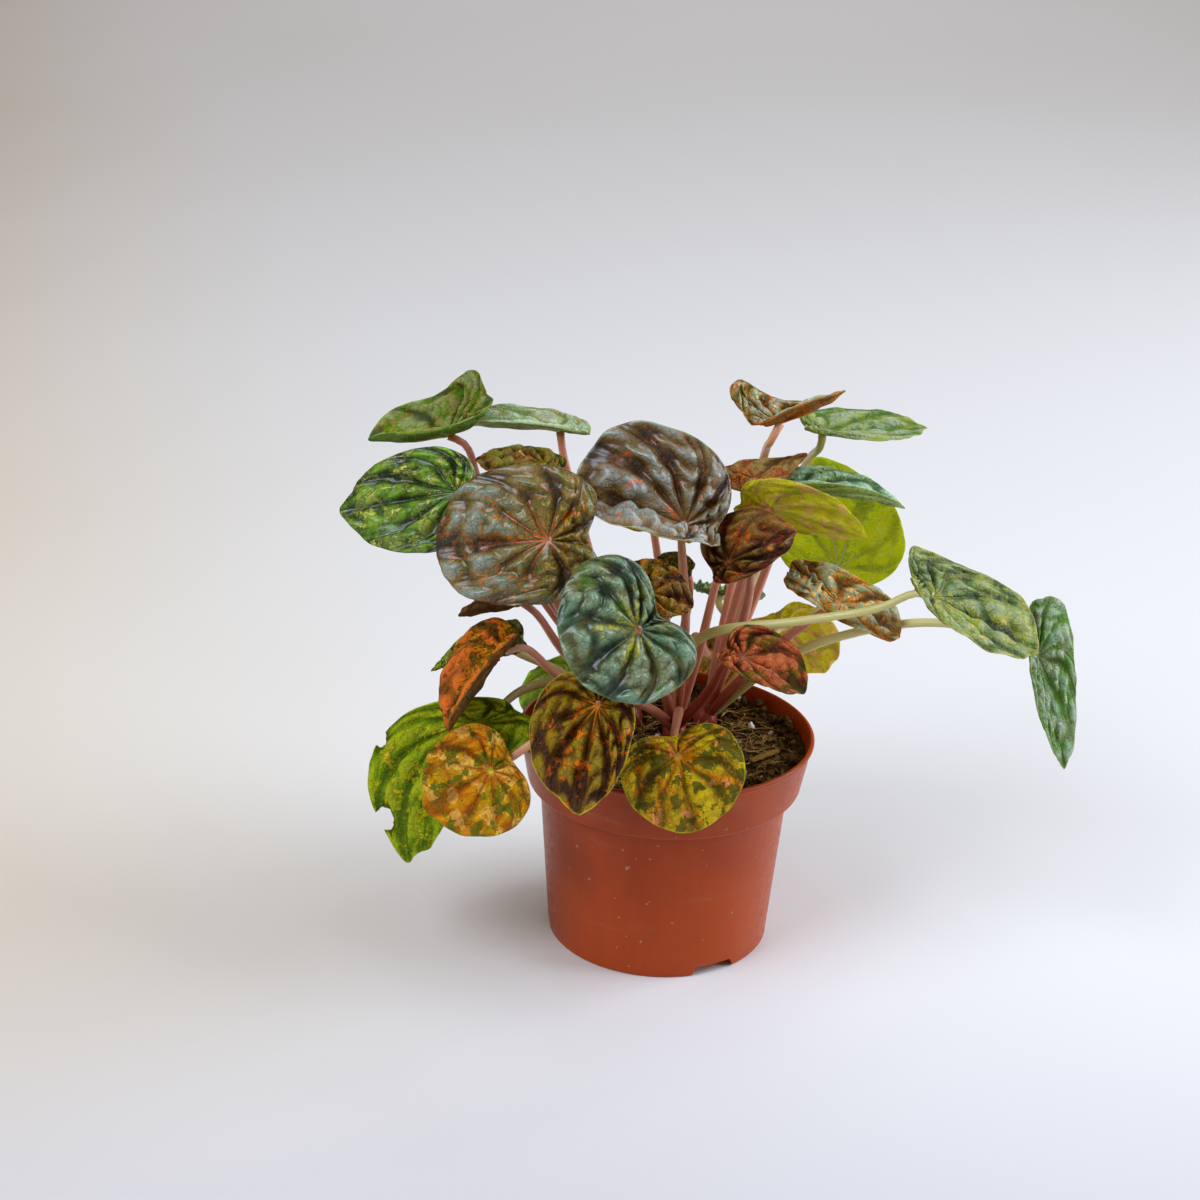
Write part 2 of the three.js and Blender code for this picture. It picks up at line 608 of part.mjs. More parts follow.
// The petiole's round body. Its last ring lies parallel to the blade.
function petioleGeometry(leaf) {
  const frame = bladeFrame(leaf);
  const curve = petioleCurve(leaf, frame);
  const end = curve.getPointAt(1);
  const { normals, binormals } = curve.computeFrenetFrames(petiole.steps, false);
  const points = [];
  for (let i = 0; i <= petiole.steps; i++) {
    const centre = curve.getPointAt(i / petiole.steps);
    const heading = curve.getTangentAt(i / petiole.steps);
    const radius = THREE.MathUtils.lerp(petiole.baseRadius, petiole.leafRadius, i / petiole.steps);
    for (let k = 0; k < petiole.sides; k++) {
      const turn = (2 * Math.PI * k) / petiole.sides;
      const point = centre.clone();
      point.addScaledVector(normals[i], radius * Math.cos(turn));
      point.addScaledVector(binormals[i], radius * Math.sin(turn));
      if (i === petiole.steps) {
        const slide = end.clone().sub(point).dot(frame.up) / heading.dot(frame.up);
        point.addScaledVector(heading, slide);
      }
      points.push(point);
    }
  }
  const last = petiole.steps * petiole.sides;
  const triangles = [];
  for (let k = 0; k < petiole.sides; k++) {
    const next = (k + 1) % petiole.sides;
    for (let i = 0; i < petiole.steps; i++) {
      const row = i * petiole.sides;
      const above = row + petiole.sides;
      triangles.push([row + k, row + next, above + next], [row + k, above + next, above + k]);
    }
    if (k > 0 && k + 1 < petiole.sides) triangles.push([0, k + 1, k], [last, last + k, last + k + 1]);
  }
  return geometryFrom(points, triangles);
}

// One short upright crown, which stands in its hole in the soil.
function crownGeometry({ x, y }) {
  const foot = soil.surface - crown.depth + crown.holeGap;
  const top = soil.surface + crown.rise;
  const profile = [
    [0, foot],
    [crown.radius - crown.bevel, foot],
    [crown.radius, foot + crown.bevel],
    [crown.radius, soil.surface + crown.bevel],
    [crown.tipRadius, top],
    [0, top + crown.bevel],
  ];
  return turned(profile, crown.sides).translate(x, y, 0);
}

function rosetteGeometry(name) {
  let solid = solidOf(crownGeometry(rosettes[name]));
  for (const leaf of plant) {
    if (leaf.rosette === name) solid = solid.add(solidOf(petioleGeometry(leaf)));
  }
  return geometryOf(solid);
}

// ---------------------------------------------------------------- the part

const plant = leaves.map((leaf) => ({ ...ordinaryBlade, ...leaf }));
const group = new THREE.Group();
group.add(namedMesh("pot", potGeometry(), { color: 0x8e3f2a, roughness: 0.45 }));
group.add(namedMesh("soil", soilGeometry(), { color: 0x2a1d15, roughness: 0.95 }));
for (const [name, { colour }] of Object.entries(rosettes)) {
  group.add(namedMesh(`stems_${name}`, rosetteGeometry(name), { color: colour, roughness: 0.5 }));
}
for (const leaf of plant) group.add(namedMesh(leaf.name, bladeGeometry(leaf), finishes[leaf.finish]));

export default group;
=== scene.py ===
import json
import math
from statistics import NormalDist

import bmesh
import bpy
import numpy as np
from bpy.props import FloatProperty, FloatVectorProperty, IntProperty, PointerProperty
from mathutils import Matrix, Vector


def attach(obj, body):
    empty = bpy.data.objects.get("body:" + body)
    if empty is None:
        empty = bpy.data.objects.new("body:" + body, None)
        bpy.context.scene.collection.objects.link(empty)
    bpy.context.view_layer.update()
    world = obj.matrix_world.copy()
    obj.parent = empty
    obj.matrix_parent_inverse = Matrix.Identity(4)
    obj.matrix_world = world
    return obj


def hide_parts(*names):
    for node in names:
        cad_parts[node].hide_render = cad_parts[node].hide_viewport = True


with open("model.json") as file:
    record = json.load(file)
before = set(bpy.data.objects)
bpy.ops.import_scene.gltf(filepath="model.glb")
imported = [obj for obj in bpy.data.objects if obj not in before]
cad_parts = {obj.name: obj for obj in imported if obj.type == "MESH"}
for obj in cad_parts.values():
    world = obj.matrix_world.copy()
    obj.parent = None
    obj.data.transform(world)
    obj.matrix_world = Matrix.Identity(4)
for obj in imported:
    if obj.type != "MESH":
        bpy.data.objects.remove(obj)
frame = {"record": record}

bl_info = {
    "name": "Ripple Peperomia",
    "version": (1, 0, 0),
    "blender": (4, 5, 0),
    "location": "View3D > Sidebar > Peperomia",
    "description": "A potted ripple peperomia with rippled, mottled leaves on long red stalks",
    "category": "Object",
}

MM = 0.001
TURN = 2 * math.pi
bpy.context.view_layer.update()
SLOTS = {part["node"]: part["material_slot"] for part in frame["record"]["subparts"]}


# ---------------------------------------------------------------- the plant's plan, in millimetres


def leaf(name, rosette, at, tip, face, half, **own):
    """One leaf. at: where the stalk meets the blade. tip: from there to the blade's point. face: where the
    upper side looks. half: widths of the left and right halves. own: via, the points that the stalk passes,
    and what differs from an ordinary leaf. lobe: how far the lobes reach behind the stalk. fold and cup:
    angles of the halves at the midrib and from there to the margin. arch and curl: angles that the blade
    bends by along its length and through its lobes. bow: how far the midrib bows sideways. taper, full,
    point and notch: the outline's narrowing, fullness, tip and gap between the lobes. ripple: its depth.
    approach: how far behind and below the blade the stalk comes in. bites: places and radii of what is torn
    out of the margin."""
    ordinary = {
        "lobe": 12, "fold": [8, 8], "cup": [-8, -8], "arch": 15, "bow": 0, "curl": 0, "taper": 0.1,
        "full": 0.95, "point": 0.06, "notch": 0.35, "veins": 9, "ripple": 1.3, "approach": [5, 5],
        "bites": [],
    }
    own.update(name=name, rosette=rosette, at=at, tip=tip, face=face, half=half)
    return {**ordinary, **own}


ROSETTES = {"centre": (4, 14), "left": (-14, 26), "right": (17, 27), "back": (4, 42)}

LEAVES = [
    # High leaves on the left.
    leaf("leaf_top_centre", "centre", [3, -14, 182], [-44, 7, 6], [0.05, -0.72, 0.7], [22, 35], lobe=18,
        fold=[54, 28], cup=[-12, -12], arch=25, taper=-0.1, full=0.9, point=0, veins=11, ripple=1.8,
        approach=[0, 6], via=[[5, -10, 142]]),
    leaf("leaf_upper_left", "left", [-49, -36, 182], [-43, 12, -10], [0.1, -0.9, 0.44], [24, 29], lobe=25,
        fold=[5, 5], cup=[-20, -15], arch=22, taper=0, full=0.85, point=0.03, notch=0.4, veins=11,
        ripple=1.8, via=[[-36, 4, 128], [-46, -15, 150]]),
    leaf("leaf_left_lime", "left", [-85, -6, 189], [-47, 12, -14], [-0.1, -0.83, 0.55], [22, 19], lobe=11,
        fold=[5, 10], taper=0.15, veins=11, ripple=1.4, via=[[-50, 8, 142]]),
    leaf("leaf_high_left", "left", [-91, 19, 204], [-32, 3, -4], [0.75, -0.11, 0.65], [12, 24], lobe=27,
        fold=[40, 28], cup=[-11, 8], arch=-25, bow=3, curl=23, taper=-0.05, full=0.75, notch=0.15,
        via=[[-58, 30, 140], [-78, 29, 178]]),
    leaf("leaf_high_left_back", "left", [-47, 27, 205], [-36, 2, 0], [0, 0.18, 0.98], [13, 14], lobe=14,
        fold=[18, 30], cup=[-9, -1], arch=8, taper=-0.35, full=0.75, notch=0.16, approach=[2, 8],
        via=[[-34, 34, 152]]),
    leaf("leaf_left_olive", "left", [-52, 4, 198], [-28, 5, 0], [-0.1, -0.1, 1], [14, 14], lobe=10,
        fold=[0, 2], approach=[2, 8], via=[[-38, 20, 146]]),
    leaf("leaf_left_hidden", "left", [-60, -8, 146], [-24, -4, -6], [-0.2, 0.6, 0.75], [13, 13], lobe=8,
        ripple=1, via=[[-42, 10, 116]]),
    # High leaves on the right.
    leaf("leaf_high_right", "right", [38, 8, 218], [25, 2, 13], [-0.27, 0.02, 0.96], [22, 8], lobe=27,
        fold=[7, 36], cup=[17, 5], arch=-14, bow=-5, curl=64, taper=0.43, full=1.35, notch=0.15,
        via=[[28, 46, 150], [35, 38, 194]]),
    leaf("leaf_high_right_green", "right", [57, 30, 208], [43, 12, -1], [0.04, 0.13, 0.99], [18, 15],
        lobe=13, fold=[25, 4], cup=[3, -8], arch=-9, bow=-2, curl=16, taper=-0.13, full=0.97, notch=0.44,
        approach=[0, 5], via=[[36, 50, 140], [53, 48, 188]]),
    leaf("leaf_right_red", "right", [30, 17, 191], [21, 5, 10], [-0.07, -0.36, 0.93], [13, 9], lobe=13,
        fold=[5, 21], cup=[-24, -17], arch=1, bow=-3, curl=21, taper=0.47, full=1.09, notch=0.34,
        via=[[30, 30, 150], [32, 19, 176]]),
    leaf("leaf_right_lime_olive", "right", [37, 6, 183], [37, -4, -10], [0.1, 0.8, 0.55], [12, 18], lobe=19,
        via=[[30, 12, 138]]),
    leaf("leaf_right_silver", "right", [47, 23, 185], [45, 4, -7], [0, 0, 1], [16, 14], lobe=10,
        fold=[25, 38], taper=0.15, approach=[2, 8], via=[[36, 30, 140]]),
    leaf("leaf_right_lime_back", "right", [71, 62, 138], [-13, -10, 51], [0.25, 0.9, 0.3], [30, 26],
        lobe=13, fold=[5, 5], notch=0.25, via=[[48, 40, 112], [63, 46, 125]]),
    # The middle.
    leaf("leaf_centre_maroon", "centre", [20, -16, 168], [26, 3, 13], [0, -0.75, 0.65], [18, 9], lobe=11,
        fold=[5, 15], cup=[-10, -20], ripple=1.5, via=[[12, 4, 124]]),
    leaf("leaf_right_folded", "right", [64, -14, 152], [25, -2, -11], [0.07, -0.69, 0.72], [17, 10],
        lobe=27, fold=[-11, 45], cup=[-14, -29], arch=39, bow=-2, curl=39, taper=-0.21, full=0.75,
        notch=0.15, approach=[4, 6], via=[[41, 8, 122]]),
    leaf("leaf_front_centre", "centre", [-14, -62, 158], [-23, -8, -16], [0, -0.9, 0.42], [26, 32], lobe=20,
        fold=[3, 3], cup=[-15, -15], point=0.02, notch=0.55, veins=11, ripple=1.7, via=[[-6, -22, 128]]),
    leaf("leaf_centre_brown", "centre", [-10, -38, 163], [17, 2, -5], [0, -0.6, 0.8], [15, 10], lobe=14,
        fold=[5, 5], ripple=1.5, via=[[-2, -8, 124]]),
    leaf("leaf_inner_olive", "back", [5, 40, 144], [-11, 2, 3], [0, -0.4, 0.9], [6, 6], lobe=6, ripple=0.8,
        via=[[7, 43, 116]]),
    leaf("leaf_small_red", "centre", [26, -38, 138], [25, -8, -10], [0.1, -0.6, 0.78], [16, 10],
        fold=[10, 25], notch=0.4, via=[[16, -8, 110]]),
    leaf("leaf_right_olive_round", "right", [50, 62, 110], [20, 8, -25], [0, 0.85, 0.5], [19, 19], lobe=15,
        fold=[5, 5], via=[[38, 46, 104]]),
    # Far right, on long petioles.
    leaf("leaf_far_right_pale", "centre", [97, -38, 166], [41, -4, -19], [-0.49, -0.46, 0.74], [21, 22],
        lobe=27, fold=[-13, 50], cup=[-1, -8], arch=-19, curl=50, taper=-0.35, full=0.88, notch=0.5,
        veins=11, via=[[5, -4, 122], [14, -14, 137], [48, -24, 148], [77, -32, 158]]),
    leaf("leaf_far_right_drooping", "right", [140, -30, 140], [13, -12, -42], [0.62, -0.74, 0.26], [16, 8],
        lobe=25, fold=[34, 17], cup=[-23, 5], arch=1, bow=-3, curl=5, full=1.03, notch=0.15, veins=11,
        via=[[50, 10, 120], [90, -6, 141], [112, -17, 146]]),
    # Low leaves on the left.
    leaf("leaf_left_salmon", "left", [-65, -28, 133], [-21, -8, -32], [-0.9, -0.42, 0.2], [16, 20],
        fold=[43, 24], via=[[-44, -4, 112]]),
    leaf("leaf_left_edge_on", "left", [-66, -6, 126], [-29, -4, -11], [-0.1, -0.1, 1], [10, 15],
        fold=[10, 10], taper=0.5, via=[[-44, 8, 109]]),
    leaf("leaf_low_left_green", "left", [-73, -22, 99], [-29, -16, -55], [-0.3, -0.85, 0.4], [23, 21],
        lobe=17, fold=[5, 5], bow=-14, taper=0, veins=11, ripple=1.4,
        bites=[[-115, -28, 87, 3.4], [-111, -33, 59, 4]], via=[[-34, 14, 103], [-58, 0, 104]]),
    leaf("leaf_low_left_orange", "left", [-68, -48, 91], [-25, -8, -14], [-0.05, -0.93, 0.38], [23, 21],
        lobe=13, fold=[5, 5], notch=0.3, veins=11, via=[[-32, -12, 102], [-50, -38, 101]]),
    # Low leaves in front.
    leaf("leaf_front_bronze", "centre", [-28, -66, 129], [-6, -14, -39], [-0.2, -0.9, 0.38], [15, 24],
        lobe=14, fold=[5, 5], cup=[-25, -15], arch=20, veins=11, ripple=1.9, via=[[-8, -20, 107]]),
    leaf("leaf_front_orange", "centre", [3, -58, 105], [8, -6, -29], [0, -0.92, 0.4], [24, 23], lobe=14,
        notch=0.45, veins=11, via=[[4, -20, 106]]),
    # Leaves at the back.
    leaf("leaf_back_high", "back", [-10, 60, 170], [-6, 36, -10], [0, 0.35, 0.93], [21, 21], lobe=15,
        veins=11, ripple=1.6, via=[[-3, 50, 130]]),
    leaf("leaf_back_left", "left", [-60, 55, 148], [-26, 24, -12], [-0.3, 0.6, 0.75], [19, 20], lobe=13,
        via=[[-36, 40, 118]]),
    leaf("leaf_back_middle", "back", [-12, 80, 118], [-4, 22, -33], [0, 0.88, 0.47], [22, 21], lobe=14,
        via=[[-2, 58, 112]]),
    leaf("leaf_back_low_left", "left", [-38, 76, 80], [-15, 14, -34], [-0.35, 0.85, 0.4], [20, 20], lobe=13,
        via=[[-26, 46, 104]]),
    leaf("leaf_back_low_right", "back", [20, 80, 90], [8, 12, -33], [0.1, 0.9, 0.42], [19, 20],
        via=[[12, 58, 105]]),
    leaf("leaf_back_right", "right", [24, 78, 119], [10, 27, -18], [0.15, 0.7, 0.7], [16, 16],
        via=[[27, 54, 112]]),
]

# Blades.
BLADE_SEED = 100
SWAY_SEED = 500
DEPTH_SEED = 900
BLADE_THICKNESS = 0.9
VEIN_BEND = 0.35
VEIN_DEPTHS = (0.68, 1.2)
VEIN_SWEEP = (0.25, 0.6)
FORK_REACH = 0.27
NOTCH_WIDTH = 0.45
POINT_WIDTH = 0.2
CORE_SHARE = 0.03
THIN_SHARE = 0.955
THIN_RINGS = (0.975, 0.99, 0.998, 1.0)
BITE_REACH = 15
BITE_SIDES = 30
NOISE_SPREAD = 0.09

# Crowns and petioles.
STALK_BASE_RISE = 1.5
STALK_END_DEPTH = 0.7
CROWN_TOP = 87.2
CROWN_SIDES = 28

# Pot.
POT_HEIGHT = 89
POT_FLOOR = 4.7
POT_FOOT_RADIUS = 45.3
POT_WALL_RADIUS = 50.6
POT_BAND_RADIUS = 55.6
POT_NOTCH_WIDTH = 26
POT_NOTCH_ANGLES = (-60, 60, 180)
DRAIN_HOLES = 6
DRAIN_PLACE = 30
DRAIN_RADIUS = 4
SEAM_TURN = 0.37

# Potting mix and litter. Roughness: height, size, shift and seed of each noise.
SOIL_SURFACE = 81
LUMP_HEIGHT = 0.9
LUMP_PITCH = 20
MIX_RADIUS = 56.4
MIX_SIDES = 200
MIX_ROUGHNESS = ((0.45, 3, 30, 3), (0.4, 1.3, 60, 4), (0.25, 0.7, 90, 5))
HOLE_FLOOR = 72
HOLE_EDGE = (5.9, 7.2)
LITTER_SEED = 11
LITTER_RADIUS = 53.5
CRUMB_RADIUS = 54
PERLITE_RADIUS = 53
FIBRE_RADIUS = 51.5
FIBRE_POINTS = 7
HEAP_PLACE = (25, 38)
HEAP_SPREAD = (4.0, 2.0)
HEAP_GRAINS = 26
HEAP_RISE = 3.4
CHIP_ENDS = ((33.5, -14.5), (45.5, -4.0))
CHIP_RINGS = 16
CHIP_SIDES = 12

# Stage, in metres.
FLOOR_HALF = 6.0
AIM = (-0.0288, 0, 0.144)
LAMP_AIM = (0, 0, 0.15)
FAR_PLACE = (0.2, 3.5)


# ---------------------------------------------------------------- sizes and colours


def srgb(digits):
    """A colour as Blender keeps it, from its six hexadecimal digits."""
    values = [int(digits[i : i + 2], 16) / 255 for i in (0, 2, 4)]
    return tuple(v / 12.92 if v <= 0.04045 else ((v + 0.055) / 1.055) ** 2.4 for v in values)


def colour(name, description, digits):
    """A colour setting."""
    limits = {"subtype": "COLOR", "min": 0, "max": 1}
    return FloatVectorProperty(name=name, description=description, default=srgb(digits), **limits)


def amount(name, description, value, **limits):
    """A setting that is never below 0, plain or with a unit."""
    return FloatProperty(name=name, description=description, default=value, **{"min": 0, **limits})


def length(name, description, millimetres):
    """A length."""
    return amount(name, description, millimetres * MM, unit="LENGTH")


def share(name, description, value):
    """A share from 0 to 1."""
    return amount(name, description, value, max=1, subtype="FACTOR")


def power(name, description, watts):
    """The power of a lamp."""
    return amount(name, description, watts, unit="POWER")


def tilt(name, description, degrees):
    """An angle of the camera."""
    return FloatProperty(name=name, description=description, default=math.radians(degrees), unit="ROTATION")


def count(name, description, value):
    """How many there are, 3 at least."""
    return IntProperty(name=name, description=description, default=value, min=3)


class LeafColours(bpy.types.PropertyGroup):
    """Colours that the blades are mixed from."""

    # The silver and frost colours are painted sheen: gloss of light on the ridges laid into the colour. The
    # valley colours hold painted shade as well as the valleys' own darker colour.
    silver: colour("Silver", "Gloss on the ridges of the bronze blades", "7C93AC")
    slate: colour("Slate", "Grey clouds of the bronze blades", "63684A")
    frost: colour("Frost", "Gloss on the ridges of the green blades", "93B3A6")
    pale: colour("Pale green", "Ridges of the palest blades", "B4CF96")
    sage: colour("Sage", "Grey green of the young blades", "7FA062")
    sea: colour("Sea green", "Ground of the blue-green blades", "3C6644")
    moss: colour("Moss", "Dark green of the valleys", "142C08")
    leaf_green: colour("Leaf green", "Ground of the plain green blades", "4A840F")
    bright: colour("Bright green", "Ground of the low green blade", "74B20C")
    grass: colour("Grass", "Ridges of the low green blade", "9CC232")
    lime: colour("Lime", "Backs of the lime blades", "B2CE00")
    yellow_green: colour("Yellow green", "Ground of the yellow blades", "BFBA1C")
    olive: colour("Olive", "Ground of the olive blades", "776A0C")
    dark_olive: colour("Dark olive", "Valleys of the olive blades", "2A2605")
    dark_green: colour("Dark green", "Ground of the orange and green blades", "4C5A10")
    umber: colour("Umber", "Ground of the brown blades", "452706")
    bronze: colour("Bronze", "Ground of the silver blades", "746024")
    rust: colour("Rust", "Brown-orange patches", "B45A08")
    amber: colour("Amber", "Yellow-orange streaks", "D08C02")
    peach: colour("Peach", "Pale orange patches", "E4A06A")
    salmon: colour("Salmon", "Orange patches", "DE6A10")
    ember: colour("Ember", "Orange-red veins", "D4602C")
    pink: colour("Pink", "Pink veins and navels", "DC8E6A")
    maroon: colour("Maroon", "Ground of the dark red blades", "3E130A")
    red: colour("Red", "Red patches", "9C240E")
    brick: colour("Brick", "Ridges of the dark red blades", "96502A")
    grey_brown: colour("Grey brown", "Backs of the bronze blades", "826238")
    cream: colour("Cream", "Pale yellow flecks", "DCD84C")
    straw: colour("Straw", "Pale veins", "CBD37C")


class LeafSizes(bpy.types.PropertyGroup):
    """Sizes of the blades."""

    thickness: length("Thickness", "Thickness of a blade at its middle", BLADE_THICKNESS)
    navel: length("Navel", "Depth of the dimple over the stalk", 0.55)
    crease: length("Crease", "Distance over which the fold at the midrib is rounded", 0.7)
    vein: length("Vein width", "Half width of a main vein at the navel", 0.55)
    wave: length("Margin wave", "Height of the free wave of the margin", 0.5)
    relief: amount("Relief", "Extra depth of the ripple half way out", 1.9)
    fork: share("Fork", "Share of the way to the margin where the veins fork", 0.42)
    puff: share("Puff", "Height of the swellings along a ridge, as a share of the ripple", 0.36)
    rings: count("Rings", "Rings of points from the navel to the margin", 28)
    columns: count("Columns", "Columns of points between two main veins", 13)


class StalkSizes(bpy.types.PropertyGroup):
    """Sizes of the petioles and crowns."""

    base: length("Base radius", "Radius of a petiole where it leaves the crown", 2.3)
    top: length("Top radius", "Radius of a petiole under its blade", 1.45)
    crown: length("Crown radius", "Radius of a crown", 5.2)
    depth: length("Crown depth", "How far a crown reaches into the potting mix", 8.65)
    sides: count("Sides", "Sides of a petiole", 14)
    steps: count("Steps", "Rings along a petiole", 44)
    flush: colour("Flush", "Pink of most petioles", "DC9072")
    deep: colour("Deep", "Red of the feet and streaks", "98341E")
    leafy: colour("Leafy", "Yellow green of some petioles", "CFC87A")
    bloom: colour("Bloom", "Pale dots", "EEC8A0")


class PotSettings(bpy.types.PropertyGroup):
    """Sizes and colours of the pot."""

    rim: length("Rim radius", "Outside radius of the lip", 60)
    band: length("Band height", "Height of the band under the rim", 21.5)
    wall: length("Wall", "Thickness of the wall", 1.3)
    sides: count("Sides", "Sides of the round wall", 192)
    clay: colour("Plastic", "Red-brown plastic", "AC4208")
    shade: colour("Dark plastic", "Deeper red-brown in the plastic's clouds", "923506")
    dust: colour("Dust", "Dried potting mix on the plastic", "A98C70")


class MixSettings(bpy.types.PropertyGroup):
    """Sizes and colours of the potting mix and the litter on it."""

    crumbs: count("Crumbs", "Crumbs of peat", 1100)
    lumps: count("Lumps", "Bigger lumps of peat, most of them along the wall", 240)
    fibres: count("Fibres", "Thin roots and fibres", 900)
    perlite: count("Perlite", "White grains", 30)
    peat: colour("Peat", "Dark damp peat", "2C1C0A")
    crumb: colour("Crumb", "The crumbs' own brown", "35220C")
    dry: colour("Dry peat", "Lighter, drier peat", "86602A")
    root: colour("Root", "Darker ends of the fibres", "8A6228")
    fibre: colour("Fibre", "Pale fibres", "E0C084")
    grain: colour("Perlite", "White grains", "E9E7E2")
    chip: colour("Wood chip", "The wood chip", "A38A5E")
    peat_shine: share("Peat shine", "How much light the damp peat throws back", 0.12)


class StageSettings(bpy.types.PropertyGroup):
    """The floor, the lights and the camera."""

    floor: colour("Floor", "Pale floor", "E6E4E2")
    # cream is painted warm shade on the floor's left, and front is painted shade on the floor towards the
    # camera.
    cream: colour("Cream", "Warm tinge of the floor on the left", "D6C4A2")
    front: colour("Front", "The floor towards the camera", "C6C4CA")
    key: power("Key light", "Power of the main light", 53)
    top: power("Top light", "Power of the wide light above", 5)
    window: power("Window", "Power of the light on the left", 23)
    far: power("Far light", "Power of the light over the far floor", 32)
    sky: amount("Sky", "Strength of the light from all round", 0.25)
    warm: colour("Warm light", "Light from all round", "FFE2BC")
    cool: colour("Cool light", "The lamps", "E0EDFF")
    lens: amount("Lens", "Focal length in millimetres", 68.25, min=1)
    roll: tilt("Roll", "Turn of the camera", 2.2)
    pitch: tilt("Pitch", "How far it looks down", 22.1)
    distance: length("Distance", "From the camera to what it looks at", 900)


GROUPS = {
    "leaf_colours": LeafColours,
    "leaf_sizes": LeafSizes,
    "stalk_sizes": StalkSizes,
    "pot_settings": PotSettings,
    "mix_settings": MixSettings,
    "stage_settings": StageSettings,
}


# ---------------------------------------------------------------- shader expressions


class Wire:
    """A shader socket that arithmetic adds Math nodes to."""

    def __init__(self, shader, socket):
        self.shader = shader
        self.socket = socket

    def math(self, operation, *others):
        return self.shader.maths(operation, self, *others)

    def __add__(self, other):
        return self.math("ADD", other)

    __radd__ = __add__

    def __sub__(self, other):
        return self.math("SUBTRACT", other)

    def __rsub__(self, other):
        return self.shader.maths("SUBTRACT", other, self)

    def __mul__(self, other):
        return self.math("MULTIPLY", other)

    __rmul__ = __mul__

    def __truediv__(self, other):
        return self.math("DIVIDE", other)

    def __abs__(self):
        return self.math("ABSOLUTE")


class Shader:
    """A new material and the nodes that make it."""

    def __init__(self, name):
        self.material = bpy.data.materials.new(name)
        self.material.use_nodes = True
        self.tree = self.material.node_tree
        self.tree.nodes.clear()

    def node(self, kind, inputs, output=0, **settings):
        """Any node: its type, its inputs by name or number, the output wanted and its settings."""
        made = self.tree.nodes.new(kind)
        for key, value in settings.items():
            setattr(made, key, value)
        for key, value in inputs.items():
            socket = made.inputs[key]
            if isinstance(value, Wire):
                self.tree.links.new(value.socket, socket)
            else:
                socket.default_value = value
        return None if output is None else Wire(self, made.outputs[output])

    def maths(self, operation, *values):
        return self.node("ShaderNodeMath", dict(enumerate(values)), operation=operation)

    def smooth(self, value, low, high, start=0.0, end=1.0):
        """start below low, end above high and an eased change between them."""
        inputs = {"Value": value, "From Min": low, "From Max": high, "To Min": start, "To Max": end}
        return self.node("ShaderNodeMapRange", inputs, interpolation_type="SMOOTHSTEP")

    def mix(self, first, second, factor):
        """The colour first where factor is 0 and second where it is 1."""
        ends = {6: opaque(first), 7: opaque(second), 0: factor}
        return self.node("ShaderNodeMix", ends, output=2, data_type="RGBA", clamp_factor=True)

    def vector(self, x, y, z=0.0):
        return self.node("ShaderNodeCombineXYZ", {0: x, 1: y, 2: z})

    def noise(self, where, scale, detail, roughness):
        inputs = {"Vector": where, "Scale": scale, "Detail": detail, "Roughness": roughness}
        return self.node("ShaderNodeTexNoise", inputs)

    def cells(self, where, scale, feature="F1"):
        inputs = {"Vector": where, "Scale": scale}
        return self.node("ShaderNodeTexVoronoi", inputs, feature=feature)

    def uv(self, name):
        return self.node("ShaderNodeUVMap", {}, uv_map=name)

    def shifted(self, where, by):
        """where moved by three numbers."""
        return self.node("ShaderNodeVectorMath", {0: where, 1: by}, operation="ADD")

    def warped(self, where, scale, reach):
        """where pushed aside by up to about half of reach, by noise of that scale."""
        inputs = {"Vector": where, "Scale": scale, "Detail": 2.0}
        push = self.node("ShaderNodeTexNoise", inputs, output="Color")
        middle = self.shifted(push, (-0.5, -0.5, -0.5))
        inputs = {0: middle, 1: (reach, reach, reach), 2: where}
        return self.node("ShaderNodeVectorMath", inputs, operation="MULTIPLY_ADD")

    def parts(self, where):
        return [self.node("ShaderNodeSeparateXYZ", {0: where}, output=i) for i in range(3)]

    def attribute(self, name, output="Fac"):
        return self.node("ShaderNodeAttribute", {}, output=output, attribute_name=name)

    def place(self):
        return self.node("ShaderNodeTexCoord", {}, output="Object")

    def bump(self, height, distance, strength):
        return self.node("ShaderNodeBump", {"Height": height, "Distance": distance, "Strength": strength})

    def finish(self, **inputs):
        """The surface, from the named inputs of the Principled shader, with _ for each space."""
        named = {key.replace("_", " "): value for key, value in inputs.items()}
        surface = self.node("ShaderNodeBsdfPrincipled", named)
        self.node("ShaderNodeOutputMaterial", {"Surface": surface}, output=None)
        return self.material


def opaque(value):
    """A colour property as the four numbers of a colour socket. A wire stays as it is."""
    return value if isinstance(value, Wire) else (*value, 1.0)


# ---------------------------------------------------------------- closed shapes


def spindle(rings, first, last):
    """A closed body from rings of points, an array of rows, columns and xyz, between a first and a last
    pole. Each ring turns anticlockwise about the way from first to last. Returns the points, the faces as
    arrays of indices and, for each face corner, its row and its column counted without a break round the
    ring."""
    rows, columns = rings.shape[:2]
    points = np.concatenate([[first], rings.reshape(-1, 3), [last]])
    row, column = np.meshgrid(np.arange(rows - 1), np.arange(columns), indexing="ij")
    quad_rows = np.stack([row, row, row + 1, row + 1], -1).reshape(-1, 4)
    quad_columns = np.stack([column, column + 1, column + 1, column], -1).reshape(-1, 4)
    around = np.arange(columns)
    foot_rows = np.tile([-1, 0, 0], (columns, 1))
    foot_columns = np.stack([around + 0.5, around + 1, around], -1)
    head_rows = np.tile([rows, rows - 1, rows - 1], (columns, 1))
    head_columns = np.stack([around + 0.5, around, around + 1], -1)
    corner_rows = [foot_rows, quad_rows, head_rows]
    corner_columns = [foot_columns, quad_columns, head_columns]
    faces = []
    for r, c in zip(corner_rows, corner_columns):
        index = 1 + r * columns + np.floor(c).astype(int) % columns
        index = np.where(r < 0, 0, np.where(r >= rows, len(points) - 1, index))
        faces.append(index)
    return points, faces, corner_rows, corner_columns


